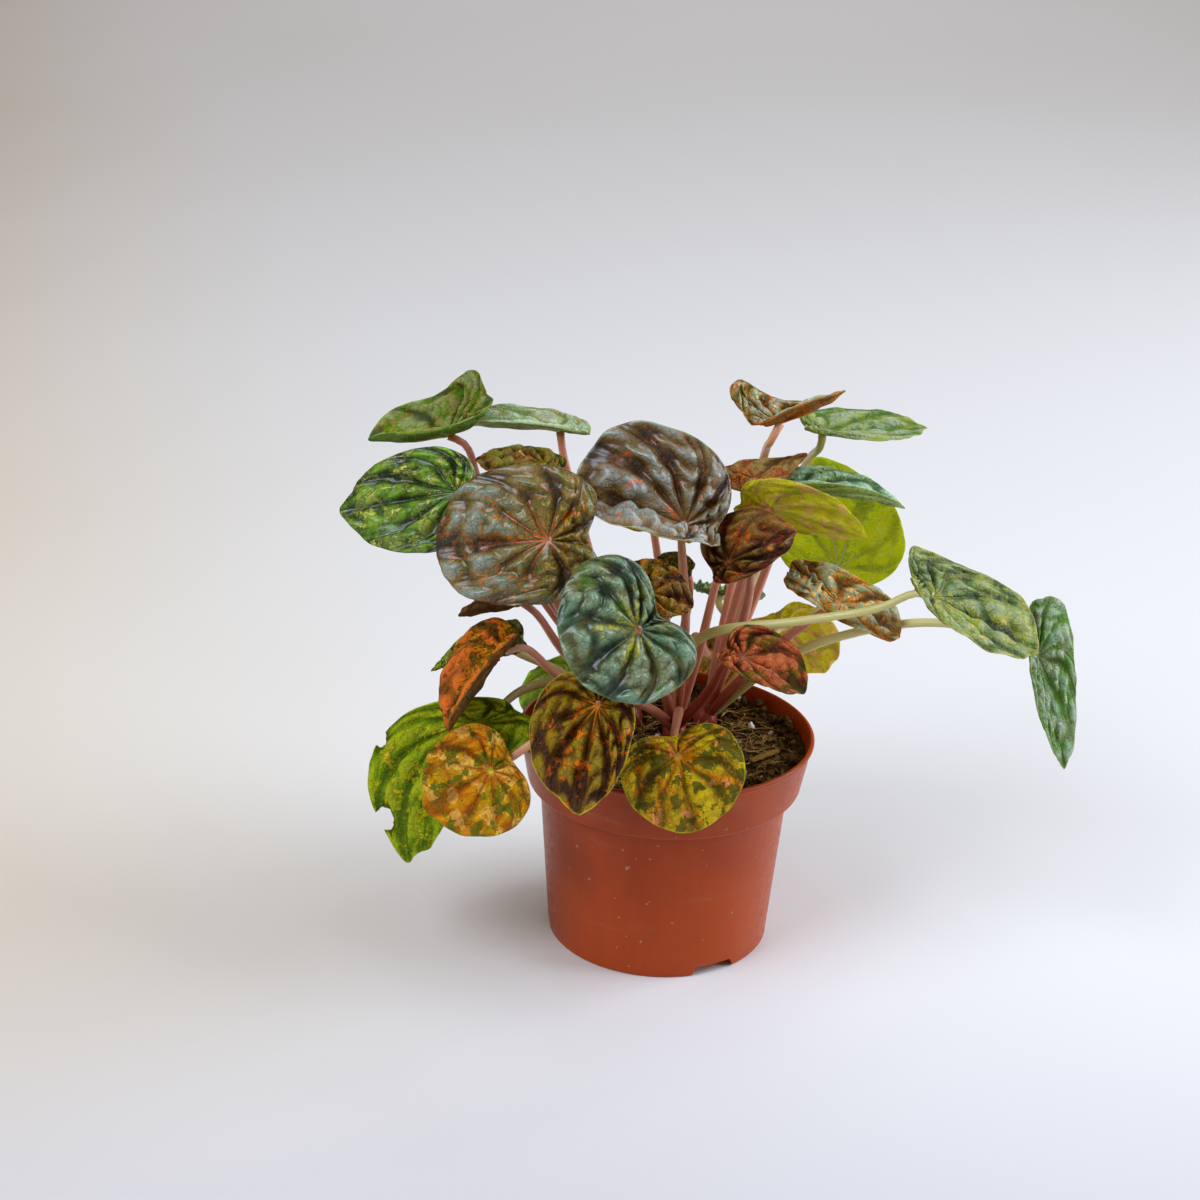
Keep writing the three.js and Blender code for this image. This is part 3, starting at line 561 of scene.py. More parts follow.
class Body:
    """The closed shapes that make up one piece, with values for the faces' corners and for the points."""

    def __init__(self):
        self.points = []
        self.faces = []
        self.size = 0
        self.corners = {}
        self.values = {}

    def add(self, points, faces, corners=None, values=None):
        """corners: UV maps as arrays in the order of the faces' corners. values: point values by name."""
        self.points.append(points)
        for block in faces:
            self.faces.extend((block + self.size).tolist())
        self.size += len(points)
        for key, value in (corners or {}).items():
            self.corners.setdefault(key, []).append(value)
        for key, value in (values or {}).items():
            self.values.setdefault(key, []).append(value)

    def piece(self, name, material, node=None, slot=None):
        """The finished piece, riding on the one body. It stands for the solid node, if one is given."""
        mesh = bpy.data.meshes.new(name)
        mesh.from_pydata((np.concatenate(self.points) * MM).tolist(), [], self.faces)
        for key, blocks in self.corners.items():
            layer = mesh.uv_layers.new(name=key)
            layer.uv.foreach_set("vector", np.concatenate(blocks).astype(np.float32).ravel())
        for key, blocks in self.values.items():
            value = np.concatenate(blocks).astype(np.float32)
            if value.ndim == 1:
                mesh.attributes.new(key, "FLOAT", "POINT").data.foreach_set("value", value)
            else:
                mesh.attributes.new(key, "FLOAT_VECTOR", "POINT").data.foreach_set("vector", value.ravel())
        mesh.polygons.foreach_set("use_smooth", np.ones(len(mesh.polygons), bool))
        mesh.materials.append(material)
        made = bpy.data.objects.new(name, mesh)
        bpy.context.scene.collection.objects.link(made)
        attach(made, "root")
        if node:
            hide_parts(node)
        return made


def corner_map(rows, columns, function):
    """A UV map: function of row and column, worked out for the corners of all faces in order."""
    r = np.concatenate([block.ravel() for block in rows])
    c = np.concatenate([block.ravel() for block in columns])
    return np.stack(np.broadcast_arrays(*function(r, c)), -1)


def unit(vectors):
    """Vectors at length 1."""
    return vectors / np.linalg.norm(vectors, axis=-1, keepdims=True)


def tube_rings(path, radius, sides, across, flutes=0.0):
    """Rings round a path, an array of steps and xyz. Each ring lies square to the path: a circle of the
    given radius in the directions of across, made square to the path, and of the third direction. flutes
    is how deep a cosine deepens and swells the circle three times round."""
    heading = unit(np.gradient(path, axis=-2))
    side = unit(across - (across * heading).sum(-1, keepdims=True) * heading)
    third = np.cross(heading, side)
    turn = np.arange(sides) / sides * TURN
    reach = np.expand_dims(radius, -1) * (1 + flutes * np.cos(3 * turn))
    out = side[..., None, :] * np.cos(turn)[:, None] + third[..., None, :] * np.sin(turn)[:, None]
    return path[..., None, :] + out * reach[..., None]


def smoothstep(value, low, high):
    """0 below low, 1 above high and 3t^2 - 2t^3 between them."""
    t = np.clip((value - low) / (high - low), 0, 1)
    return t * t * (3 - 2 * t)


def lattice_noise(x, y, seed):
    """Smooth noise from -1 to 1: random values at whole numbers of x and y, eased between them."""
    table = np.random.default_rng(seed).uniform(-1, 1, (64, 64))
    left, low = np.floor(x).astype(int), np.floor(y).astype(int)
    s, t = smoothstep(x - left, 0, 1), smoothstep(y - low, 0, 1)
    corner = lambda i, j: table[(left + i) % 64, (low + j) % 64]
    near = corner(0, 0) * (1 - s) + corner(1, 0) * s
    far = corner(0, 1) * (1 - s) + corner(1, 1) * s
    return near * (1 - t) + far * t


def cut(piece, cutters):
    """Takes closed meshes away from a piece, and keeps the piece's own materials."""
    for cutter in cutters:
        tool = bpy.data.objects.new("cutter", cutter)
        bpy.context.scene.collection.objects.link(tool)
        modifier = piece.modifiers.new("cut", "BOOLEAN")
        modifier.operation = "DIFFERENCE"
        modifier.solver = "EXACT"
        modifier.object = tool
        graph = bpy.context.evaluated_depsgraph_get()
        graph.update()
        whole = piece.data
        solved = piece.evaluated_get(graph)
        piece.data = bpy.data.meshes.new_from_object(solved, preserve_all_data_layers=True, depsgraph=graph)
        piece.data.name = whole.name
        piece.modifiers.clear()
        bpy.data.meshes.remove(whole)
        bpy.data.objects.remove(tool)
        bpy.data.meshes.remove(cutter)


def plain_mesh(points, faces):
    """A bare mesh, in metres, from points in millimetres."""
    mesh = bpy.data.meshes.new("cutter")
    mesh.from_pydata((np.asarray(points) * MM).tolist(), [], [f for block in faces for f in block.tolist()])
    return mesh


def rod(start, end, radius, sides):
    """A closed round bar between two points that share their x, as points and faces."""
    path = np.array([start, end], float)
    rings = tube_rings(path, np.full(2, radius), sides, np.array([1.0, 0, 0]))
    return spindle(rings, *path)[:2]


# ---------------------------------------------------------------- blades


def signed_power(value, power):
    """The power of the value's size, with the value's own sign."""
    return np.sign(value) * np.abs(value) ** power


def blade_axes(plan):
    """The blade's own axes: the point over the stalk, along the midrib, across it and up from the face
    there, and the length of the midrib, which is an arc over the chord to the point."""
    tip, face = np.array(plan["tip"], float), np.array(plan["face"], float)
    to_tip = unit(tip)
    facing = unit(face - (face @ to_tip) * to_tip)
    half = math.radians(plan["arch"]) / 2
    along = to_tip * math.cos(half) + facing * math.sin(half)
    up = facing * math.cos(half) - to_tip * math.sin(half)
    reach = float(np.linalg.norm(tip)) * half / math.sin(half)
    return np.array(plan["at"], float), along, np.cross(facing, to_tip), up, reach


def flat_points(plan, reach, share, angle):
    """A flat outline at share of the way from the stalk to the margin: two half ovals in cosine and sine of
    an angle that veers towards the point, with a sharp bell at angle 0 for the point and one at a half turn
    for the notch. The midrib bows sideways as a parabola."""
    bent = angle + VEIN_BEND * (1 - share) * np.sin(angle)
    fore = reach * (1 - plan["point"])
    sharp = plan["point"] * reach * np.exp(-((bent / POINT_WIDTH) ** 2))
    from_back = (np.pi - np.abs(bent)) / NOTCH_WIDTH
    scale = share * (1 - plan["notch"] * np.exp(-(from_back**2)))
    middle = (fore - plan["lobe"]) / 2
    u = scale * (middle + (fore + plan["lobe"]) / 2 * signed_power(np.cos(bent), plan["full"]) + sharp)
    half = np.where(np.sin(bent) < 0, plan["half"][1], plan["half"][0])
    v = scale * half * signed_power(np.sin(bent), plan["full"]) * (1 - plan["taper"] * share * np.cos(bent))
    way = u / reach
    return u, v + 4 * plan["bow"] * way * (1 - np.maximum(way, 0))


def middle_points(plan, axes, crease, share, angle):
    """The smooth middle surface. Along the midrib it follows an arc, with a tighter one through the lobes
    behind the stalk. Across it, each half starts at its fold angle and turns on evenly to the margin, so
    its profile is the integral of a circle's slope. The fold is rounded over the width crease, by a
    hyperbola in place of the distance from the midrib."""
    at, along, across, up, reach = axes
    u, v = flat_points(plan, reach, share, angle)
    side = (np.sin(angle) < 0).astype(int)
    fold = np.radians(np.array(plan["fold"], float))[side]
    turn = (np.radians(np.array(plan["cup"], float)) / np.array(plan["half"], float))[side]
    far = np.sqrt(v * v + crease * crease) - crease
    out = (np.sin(fold + turn * np.abs(v)) - np.sin(fold)) / turn
    rise = (np.cos(fold) - np.cos(fold + turn * far)) / turn
    curve = math.radians(plan["arch"]) / reach - np.where(u < 0, math.radians(plan["curl"]) / plan["lobe"], 0)
    lean = curve * u
    forward = np.sin(lean) / curve + rise * np.sin(lean)
    upward = (np.cos(lean) - 1) / curve + rise * np.cos(lean)
    sideways = np.sign(v) * out
    return at + forward[..., None] * along + upward[..., None] * up + sideways[..., None] * across


def middle_normals(plan, axes, crease, share, angle):
    """Unit normals of the middle surface, from short steps both ways along it and round it."""
    step = 0.01
    outward = middle_points(plan, axes, crease, share + step, angle)
    outward = outward - middle_points(plan, axes, crease, share - step, angle)
    around = middle_points(plan, axes, crease, share, angle + step)
    around = around - middle_points(plan, axes, crease, share, angle - step)
    return unit(np.cross(outward, around))


def ripple_height(plan, sizes, calm, share, phase, flat, seed):
    """Height of the ripple, in millimetres. A sine of the phase, which is a whole number on each main vein,
    to a power below 1 has its valleys there, and each valley but the midrib's has a depth of its own. Past
    the fork a bell-shaped valley leaves each vein on both sides, again with a depth of its own. Along each
    ridge a sine of its own length and phase makes swellings, and smooth noise makes lumps. A parabola of
    the way to the margin deepens it all half way out, less on a calm blade."""
    veins, branches = plan["veins"], 2 * plan["veins"]
    draws = np.random.default_rng(seed)
    offset = np.abs(phase - np.round(phase))
    sector = np.floor(phase).astype(int) % veins
    start = smoothstep(share, 0.03, 0.45)
    valley = (np.sin(np.pi * offset) ** 2 + 0.004) ** 0.4
    depth = np.random.default_rng(seed + DEPTH_SEED).uniform(*VEIN_DEPTHS, veins)
    depth[0] = 1
    valley = 1 - depth[np.round(phase).astype(int) % veins] * (1 - valley)
    main = start * (1 - 0.35 * share**2) * (valley - 0.5)
    open_ = np.clip((share - sizes.fork) / (1 - sizes.fork), 0, 1)
    forks = np.exp(-(((offset - FORK_REACH * np.sqrt(open_)) / 0.06) ** 2)) * smoothstep(open_, 0.02, 0.3)
    forks = forks * draws.uniform(0, 1, branches)[np.floor(2 * phase).astype(int) % branches]
    swells = draws.uniform(3.2, 5.4, veins)[sector]
    shift = draws.uniform(0, 1, veins)[sector]
    puffs = np.sin(TURN * (share * swells + shift + 1.1 * offset)) * np.sin(np.pi * offset) ** 2
    lumps = lattice_noise(flat[0] / 5.5 + 20, flat[1] / 5.5 + 20, seed)
    grown = smoothstep(share, 0.22, 0.5)
    height = main - 0.4 * forks + grown * (sizes.puff * puffs + 0.27 * lumps)
    deep = 1 - 0.3 * calm + sizes.relief * (1 - calm) * 4 * share * (1 - share)
    return plan["ripple"] * deep * height, np.clip(height + 0.5, 0, 1)


def blade_body(plan, sizes, calm, seed):
    """One blade: the rippled middle surface thickened both ways, to nothing at the margin by an ellipse.
    Each main vein but the midrib sways to one side and back on its way to the margin, by sines of its own
    height, and the veins of both halves bend away from the point together, most at the blade's sides."""
    axes = blade_axes(plan)
    reach = axes[4]
    crease = sizes.crease / MM
    half = sizes.thickness / MM / 2
    spread = (reach + plan["lobe"] + sum(plan["half"])) / 4
    columns = plan["veins"] * sizes.columns
    draws = np.random.default_rng(seed + SWAY_SEED)
    shares = np.concatenate([np.linspace(CORE_SHARE, THIN_SHARE, sizes.rings), THIN_RINGS])[:, None]
    order = np.arange(plan["veins"] + 1)
    sway = draws.uniform(-1, 1, (3, len(order))) * (order % plan["veins"] > 0)
    sway = 0.15 * sway[0] + 0.22 * sway[1] * np.sin(np.pi * shares) + 0.1 * sway[2] * np.sin(TURN * shares)
    sweep = draws.uniform(*VEIN_SWEEP) * np.sin(order / plan["veins"] * TURN)
    sway = 0.92 * sway + sweep * (np.sin(np.pi * shares) - 0.3 * np.sin(TURN * shares))
    steps = np.arange(columns) / sizes.columns
    vein = np.floor(steps).astype(int)
    between = steps - vein
    bent = sway[:, vein] * (1 - between) + sway[:, vein + 1] * between
    angle = ((steps + bent) / plan["veins"] * TURN + np.pi) % TURN - np.pi
    waves = draws.uniform(0, TURN, 5)
    wobble = np.sin(4 * angle + waves[0]) + np.sin(7 * angle + waves[1]) + 0.6 * np.sin(13 * angle + waves[2])
    share = shares * (1 + 0.007 * wobble * shares**2)
    flat = flat_points(plan, reach, share, angle)
    phase = np.broadcast_to(steps, share.shape)
    lift, ridge = ripple_height(plan, sizes, calm, shares, phase, flat, seed)
    free = np.sin(2 * angle + waves[3]) + 0.7 * np.sin(5 * angle + waves[4])
    lift = lift + sizes.wave / MM / 2 * free * shares**5
    lift = lift - sizes.navel / MM * np.exp(-((shares * spread / 2.4) ** 2))
    rounded = np.sqrt(1 - np.clip((shares - THIN_SHARE) / (1 - THIN_SHARE), 0, 1) ** 2)
    thick = half * (1 - 0.3 * shares) * rounded
    middle = middle_points(plan, axes, crease, share, angle)
    normal = middle_normals(plan, axes, crease, share, angle)
    over = middle + normal * (lift + thick)[..., None]
    under = middle + normal * (lift - thick)[..., None]
    rings = np.concatenate([under, over[-2::-1]])
    centre = axes[0] - axes[3] * sizes.navel / MM
    points, faces, rows, around = spindle(rings, centre - axes[3] * half, centre + axes[3] * half)
    both = lambda value, pole: np.concatenate([[pole], value.ravel(), value[-2::-1].ravel(), [pole]])
    row_share = np.concatenate([shares[:, 0], shares[-2::-1, 0], [0]])
    polar = corner_map(rows, around, lambda r, c: (c / columns, np.where(r < 0, 0, row_share[r])))
    flat_map = np.stack([both(flat[0], 0.0), both(flat[1], 0.0), np.zeros(len(points))], -1) / 100
    lower = np.zeros(len(points))
    lower[: 1 + len(shares) * columns] = 1
    body = Body()
    body.add(points, faces, {"polar": polar}, {"flat": flat_map, "ridge": both(ridge, 0.2), "under": lower})
    return body


PAINTS = "ground second ridge valley vein patch fleck navel margin back back_vein".split()


def look(paints, **own):
    """What a blade is coloured with. paints: the colours' names in the order of PAINTS. ground and second
    are clouded over it, ridge follows the ripple's tops as their own lighter colour and painted sheen,
    valley its hollows as their own darker colour and painted shade, vein the veins, patch is for
    blotches, fleck for fine streaks, and back for the underside. own: what differs from the ordinary
    numbers. A part says how much of the ridge tops, the valleys, the navel's veins or the blade a colour
    takes. patch_size: of a blotch, in millimetres. patch_rough: how ragged it is. fleck_fade: how much
    flecks keep to the navel. ridge_from: the height where the ridge colour and its painted sheen start.
    fade: from where to where along the blade it grows. gloss: roughness of the ridges. glow: how much light
    passes into the blade. coat and shine: how strongly the wax and the skin mirror. calm: how much of the
    extra depth of the ripple, and of its painted shade, is left out. tint: what both sides' red,
    green and blue are multiplied by, together with the painted shade of the ripple. blotch: a colour for
    wide clouds."""
    ordinary = {
        "ridge_part": 0.35, "ridge_from": 0.4, "valley_part": 0.9, "vein_part": 0.4, "patch_part": 0.2,
        "patch_size": 2.2, "patch_rough": 0.68, "fleck_part": 0.1, "fleck_fade": 0.05, "fade": (-9.0, -8.0),
        "gloss": 0.4, "glow": 0.1, "coat": 0.0, "shine": 0.15, "calm": 0.0, "tint": (1.2, 1.2, 1.0),
    }
    return {**ordinary, **dict(zip(PAINTS, paints.split())), **own}


LOOKS = {
    "leaf_top_centre": look("bronze slate silver umber rust rust salmon rust frost yellow_green straw",
        ridge_part=0.66, ridge_from=0.52, patch_part=0.16, patch_size=1.3, fleck_part=0.03, gloss=0.3,
        coat=0.9, shine=0.3, tint=(1.26, 1.04, 0.7)),
    "leaf_upper_left": look("bronze dark_green silver dark_olive ember rust amber pink umber umber straw",
        ridge_part=0.7, ridge_from=0.5, vein_part=0.8, patch_size=1.6, fleck_part=0.06, fade=(0.0, 0.28),
        gloss=0.3, coat=0.9, shine=0.3, tint=(1.38, 1.28, 0.8)),
    "leaf_left_lime": look("leaf_green moss sage moss leaf_green sage pale leaf_green moss sage straw",
        ridge_part=0.3, vein_part=0.2, patch_part=0.25, patch_size=7.0, fleck_part=0.14, gloss=0.34,
        glow=0.2, coat=0.7, shine=0.25, tint=(1.92, 1.4, 0.5)),
    "leaf_high_left": look("sage olive sage moss olive leaf_green bright olive bright leaf_green straw",
        ridge_part=0.4, valley_part=0.6, patch_part=0.3, patch_size=6.0, fleck_part=0.12, glow=0.2,
        calm=0.5, tint=(1.33, 0.99, 0.9)),
    "leaf_high_left_back": look("sage olive frost leaf_green sage sage pale sage sage sage straw",
        ridge_part=0.5, valley_part=0.5, fleck_part=0.06, shine=0.3, calm=0.6, tint=(1.7, 1.38, 1.5)),
    "leaf_left_olive": look("olive umber grey_brown dark_olive rust rust peach pink rust umber straw",
        ridge_part=0.6, patch_part=0.16, patch_size=2.4, fleck_part=0.03, tint=(1.18, 1.47, 1.23)),
    "leaf_left_hidden": look("umber dark_olive frost umber straw rust amber pink olive grey_brown pink",
        ridge_part=0.2),
    "leaf_high_right": look(
        "olive grey_brown frost dark_olive rust rust pale pink grey_brown grey_brown rust", ridge_part=0.6,
        fleck_part=0.12, calm=0.5, tint=(1.67, 1.41, 1.31)),
    "leaf_high_right_green": look(
        "grass leaf_green pale leaf_green grass leaf_green lime grass grass grass straw", ridge_part=0.5,
        valley_part=0.5, patch_size=4.0, fleck_part=0.06, glow=0.25, shine=0.3, calm=0.7,
        tint=(0.98, 0.75, 1.29)),
    "leaf_right_red": look("grey_brown brick grey_brown maroon red red salmon pink brick umber red",
        ridge_part=0.5, valley_part=0.7, patch_part=0.22, patch_size=1.2, calm=0.4, tint=(1.64, 2.1, 1.8)),
    "leaf_right_lime_olive": look(
        "yellow_green olive grass olive straw peach amber pink peach yellow_green cream", ridge_part=0.4,
        valley_part=0.6, patch_part=0.3, patch_size=5.0, fleck_part=0.2, glow=0.25, calm=0.5,
        tint=(1.27, 1.26, 1.6)),
    "leaf_right_silver": look("sea sage frost moss sage moss pale sage sage sage straw", ridge_part=0.7,
        valley_part=0.5, patch_part=0.15, fleck_part=0.04, gloss=0.34, shine=0.3, calm=0.5,
        tint=(2.3, 2.0, 1.8)),
    "leaf_right_lime_back": look("lime bright grass bright straw bright cream straw lime lime straw",
        ridge_part=0.3, valley_part=0.3, fleck_part=0.03, glow=0.5, calm=0.8, tint=(1.39, 1.16, 2.0)),
    "leaf_centre_maroon": look("umber maroon grey_brown maroon pink red rust pink brick brick pink",
        ridge_part=0.6, vein_part=0.5, patch_part=0.14, patch_size=1.6, fleck_part=0.12, gloss=0.34,
        shine=0.3, tint=(1.27, 1.28, 0.35)),
    "leaf_right_folded": look("grey_brown olive silver umber pink rust peach pink rust olive rust",
        ridge_part=0.6, valley_part=0.7, patch_part=0.28, patch_size=2.0, fleck_part=0.14,
        tint=(1.75, 1.82, 1.0)),
    "leaf_front_centre": look("sea olive frost moss sea leaf_green yellow_green pink sage sage straw",
        ridge_part=0.5, vein_part=0.5, patch_part=0.14, patch_size=7.0, fleck_part=0.05, fleck_fade=0.3,
        gloss=0.3, coat=0.9, shine=0.3, tint=(0.92, 0.9, 0.7)),
    "leaf_centre_brown": look("umber olive grey_brown maroon bronze rust rust pink umber umber straw",
        ridge_part=0.6, patch_part=0.3, tint=(1.55, 1.7, 1.59)),
    "leaf_inner_olive": look(
        "dark_olive dark_olive olive dark_olive straw rust amber pink olive dark_olive straw"),
    "leaf_small_red": look("ember red pink maroon pink olive peach pink olive brick straw", vein_part=0.8,
        patch_part=0.34, patch_size=5.0, calm=0.2, tint=(0.88, 0.98, 0.85)),
    "leaf_right_olive_round": look(
        "yellow_green olive cream dark_olive straw peach amber pink rust yellow_green peach",
        ridge_part=0.3, patch_part=0.36, patch_size=5.0, fleck_part=0.15, glow=0.3, calm=0.5,
        tint=(1.42, 1.39, 1.6)),
    "leaf_far_right_pale": look("leaf_green grass pale moss straw grass cream lime cream sage straw",
        ridge_part=0.6, vein_part=0.6, patch_part=0.3, patch_size=4.0, fleck_part=0.12, gloss=0.34,
        glow=0.2, shine=0.4, coat=0.1, calm=0.3, tint=(0.88, 0.68, 0.77)),
    "leaf_far_right_drooping": look(
        "sage leaf_green frost leaf_green pale leaf_green pale sage sage sage pale", ridge_part=0.4,
        valley_part=0.5, patch_part=0.25, patch_size=4.0, fleck_part=0.06, shine=0.35, calm=0.6,
        tint=(1.53, 1.17, 1.41)),
    "leaf_left_salmon": look("ember rust salmon olive ember dark_olive amber ember umber grey_brown rust",
        ridge_part=0.4, valley_part=0.5, vein_part=0.9, patch_part=0.34, patch_size=2.8, fleck_part=0.16,
        tint=(1.1, 1.32, 0.9)),
    "leaf_left_edge_on": look("olive dark_olive sage dark_olive straw lime amber pink olive olive straw"),
    "leaf_low_left_green": look(
        "bright leaf_green grass leaf_green grass lime cream grass bright grass straw", ridge_part=0.5,
        valley_part=0.7, vein_part=0.6, patch_size=4.0, fleck_part=0.03, glow=0.25, calm=0.4,
        tint=(1.49, 0.86, 0.35)),
    "leaf_low_left_orange": look("rust olive amber rust ember peach amber cream olive olive straw",
        ridge_part=0.4, valley_part=0.3, vein_part=0.9, patch_part=0.38, patch_size=8.0, patch_rough=0.5,
        fleck_part=0.2, blotch="dark_green", calm=0.5, tint=(1.23, 1.48, 0.59)),
    "leaf_front_bronze": look(
        "umber dark_olive olive umber amber rust salmon pink yellow_green umber straw", ridge_part=0.9,
        valley_part=0.8, vein_part=0.8, patch_part=0.16, patch_size=3.0, fleck_part=0.05, gloss=0.34,
        shine=0.3, tint=(1.71, 1.43, 0.46)),
    "leaf_front_orange": look(
        "yellow_green olive yellow_green dark_green amber peach amber cream lime olive straw",
        ridge_part=0.4, valley_part=0.8, vein_part=1.0, patch_part=0.16, patch_size=8.0, patch_rough=0.5,
        fleck_part=0.3, blotch="dark_green", glow=0.2, calm=0.5, tint=(1.29, 0.97, 0.73)),
    "leaf_back_high": look("bronze slate silver umber ember rust salmon pink frost umber straw",
        ridge_part=0.7, patch_part=0.3, patch_size=1.6, gloss=0.3, coat=0.25, shine=0.4),
    "leaf_back_left": look("olive dark_olive frost dark_olive rust rust peach pink olive umber straw",
        patch_part=0.35, fleck_part=0.2),
    "leaf_back_middle": look("umber maroon brick maroon pink red ember pink brick brick pink",
        ridge_part=0.5, patch_size=1.6),
    "leaf_back_low_left": look(
        "leaf_green bright grass moss grass bright cream grass leaf_green grass straw", ridge_part=0.5,
        glow=0.25),
    "leaf_back_low_right": look(
        "amber dark_olive frost dark_olive amber peach amber pink olive olive straw", patch_part=0.3,
        patch_size=6.0, fleck_part=0.3, blotch="dark_green"),
    "leaf_back_right": look(
        "leaf_green moss sage moss leaf_green sage cream leaf_green leaf_green sage straw", fleck_part=0.22,
        glow=0.2, coat=0.2, shine=0.35),
}


def level(part):
    """The value that a share of Blender's soft noise lies above: its values spread as a bell round 0.5."""
    return 0.5 + NOISE_SPREAD * NormalDist().inv_cdf(1 - part)


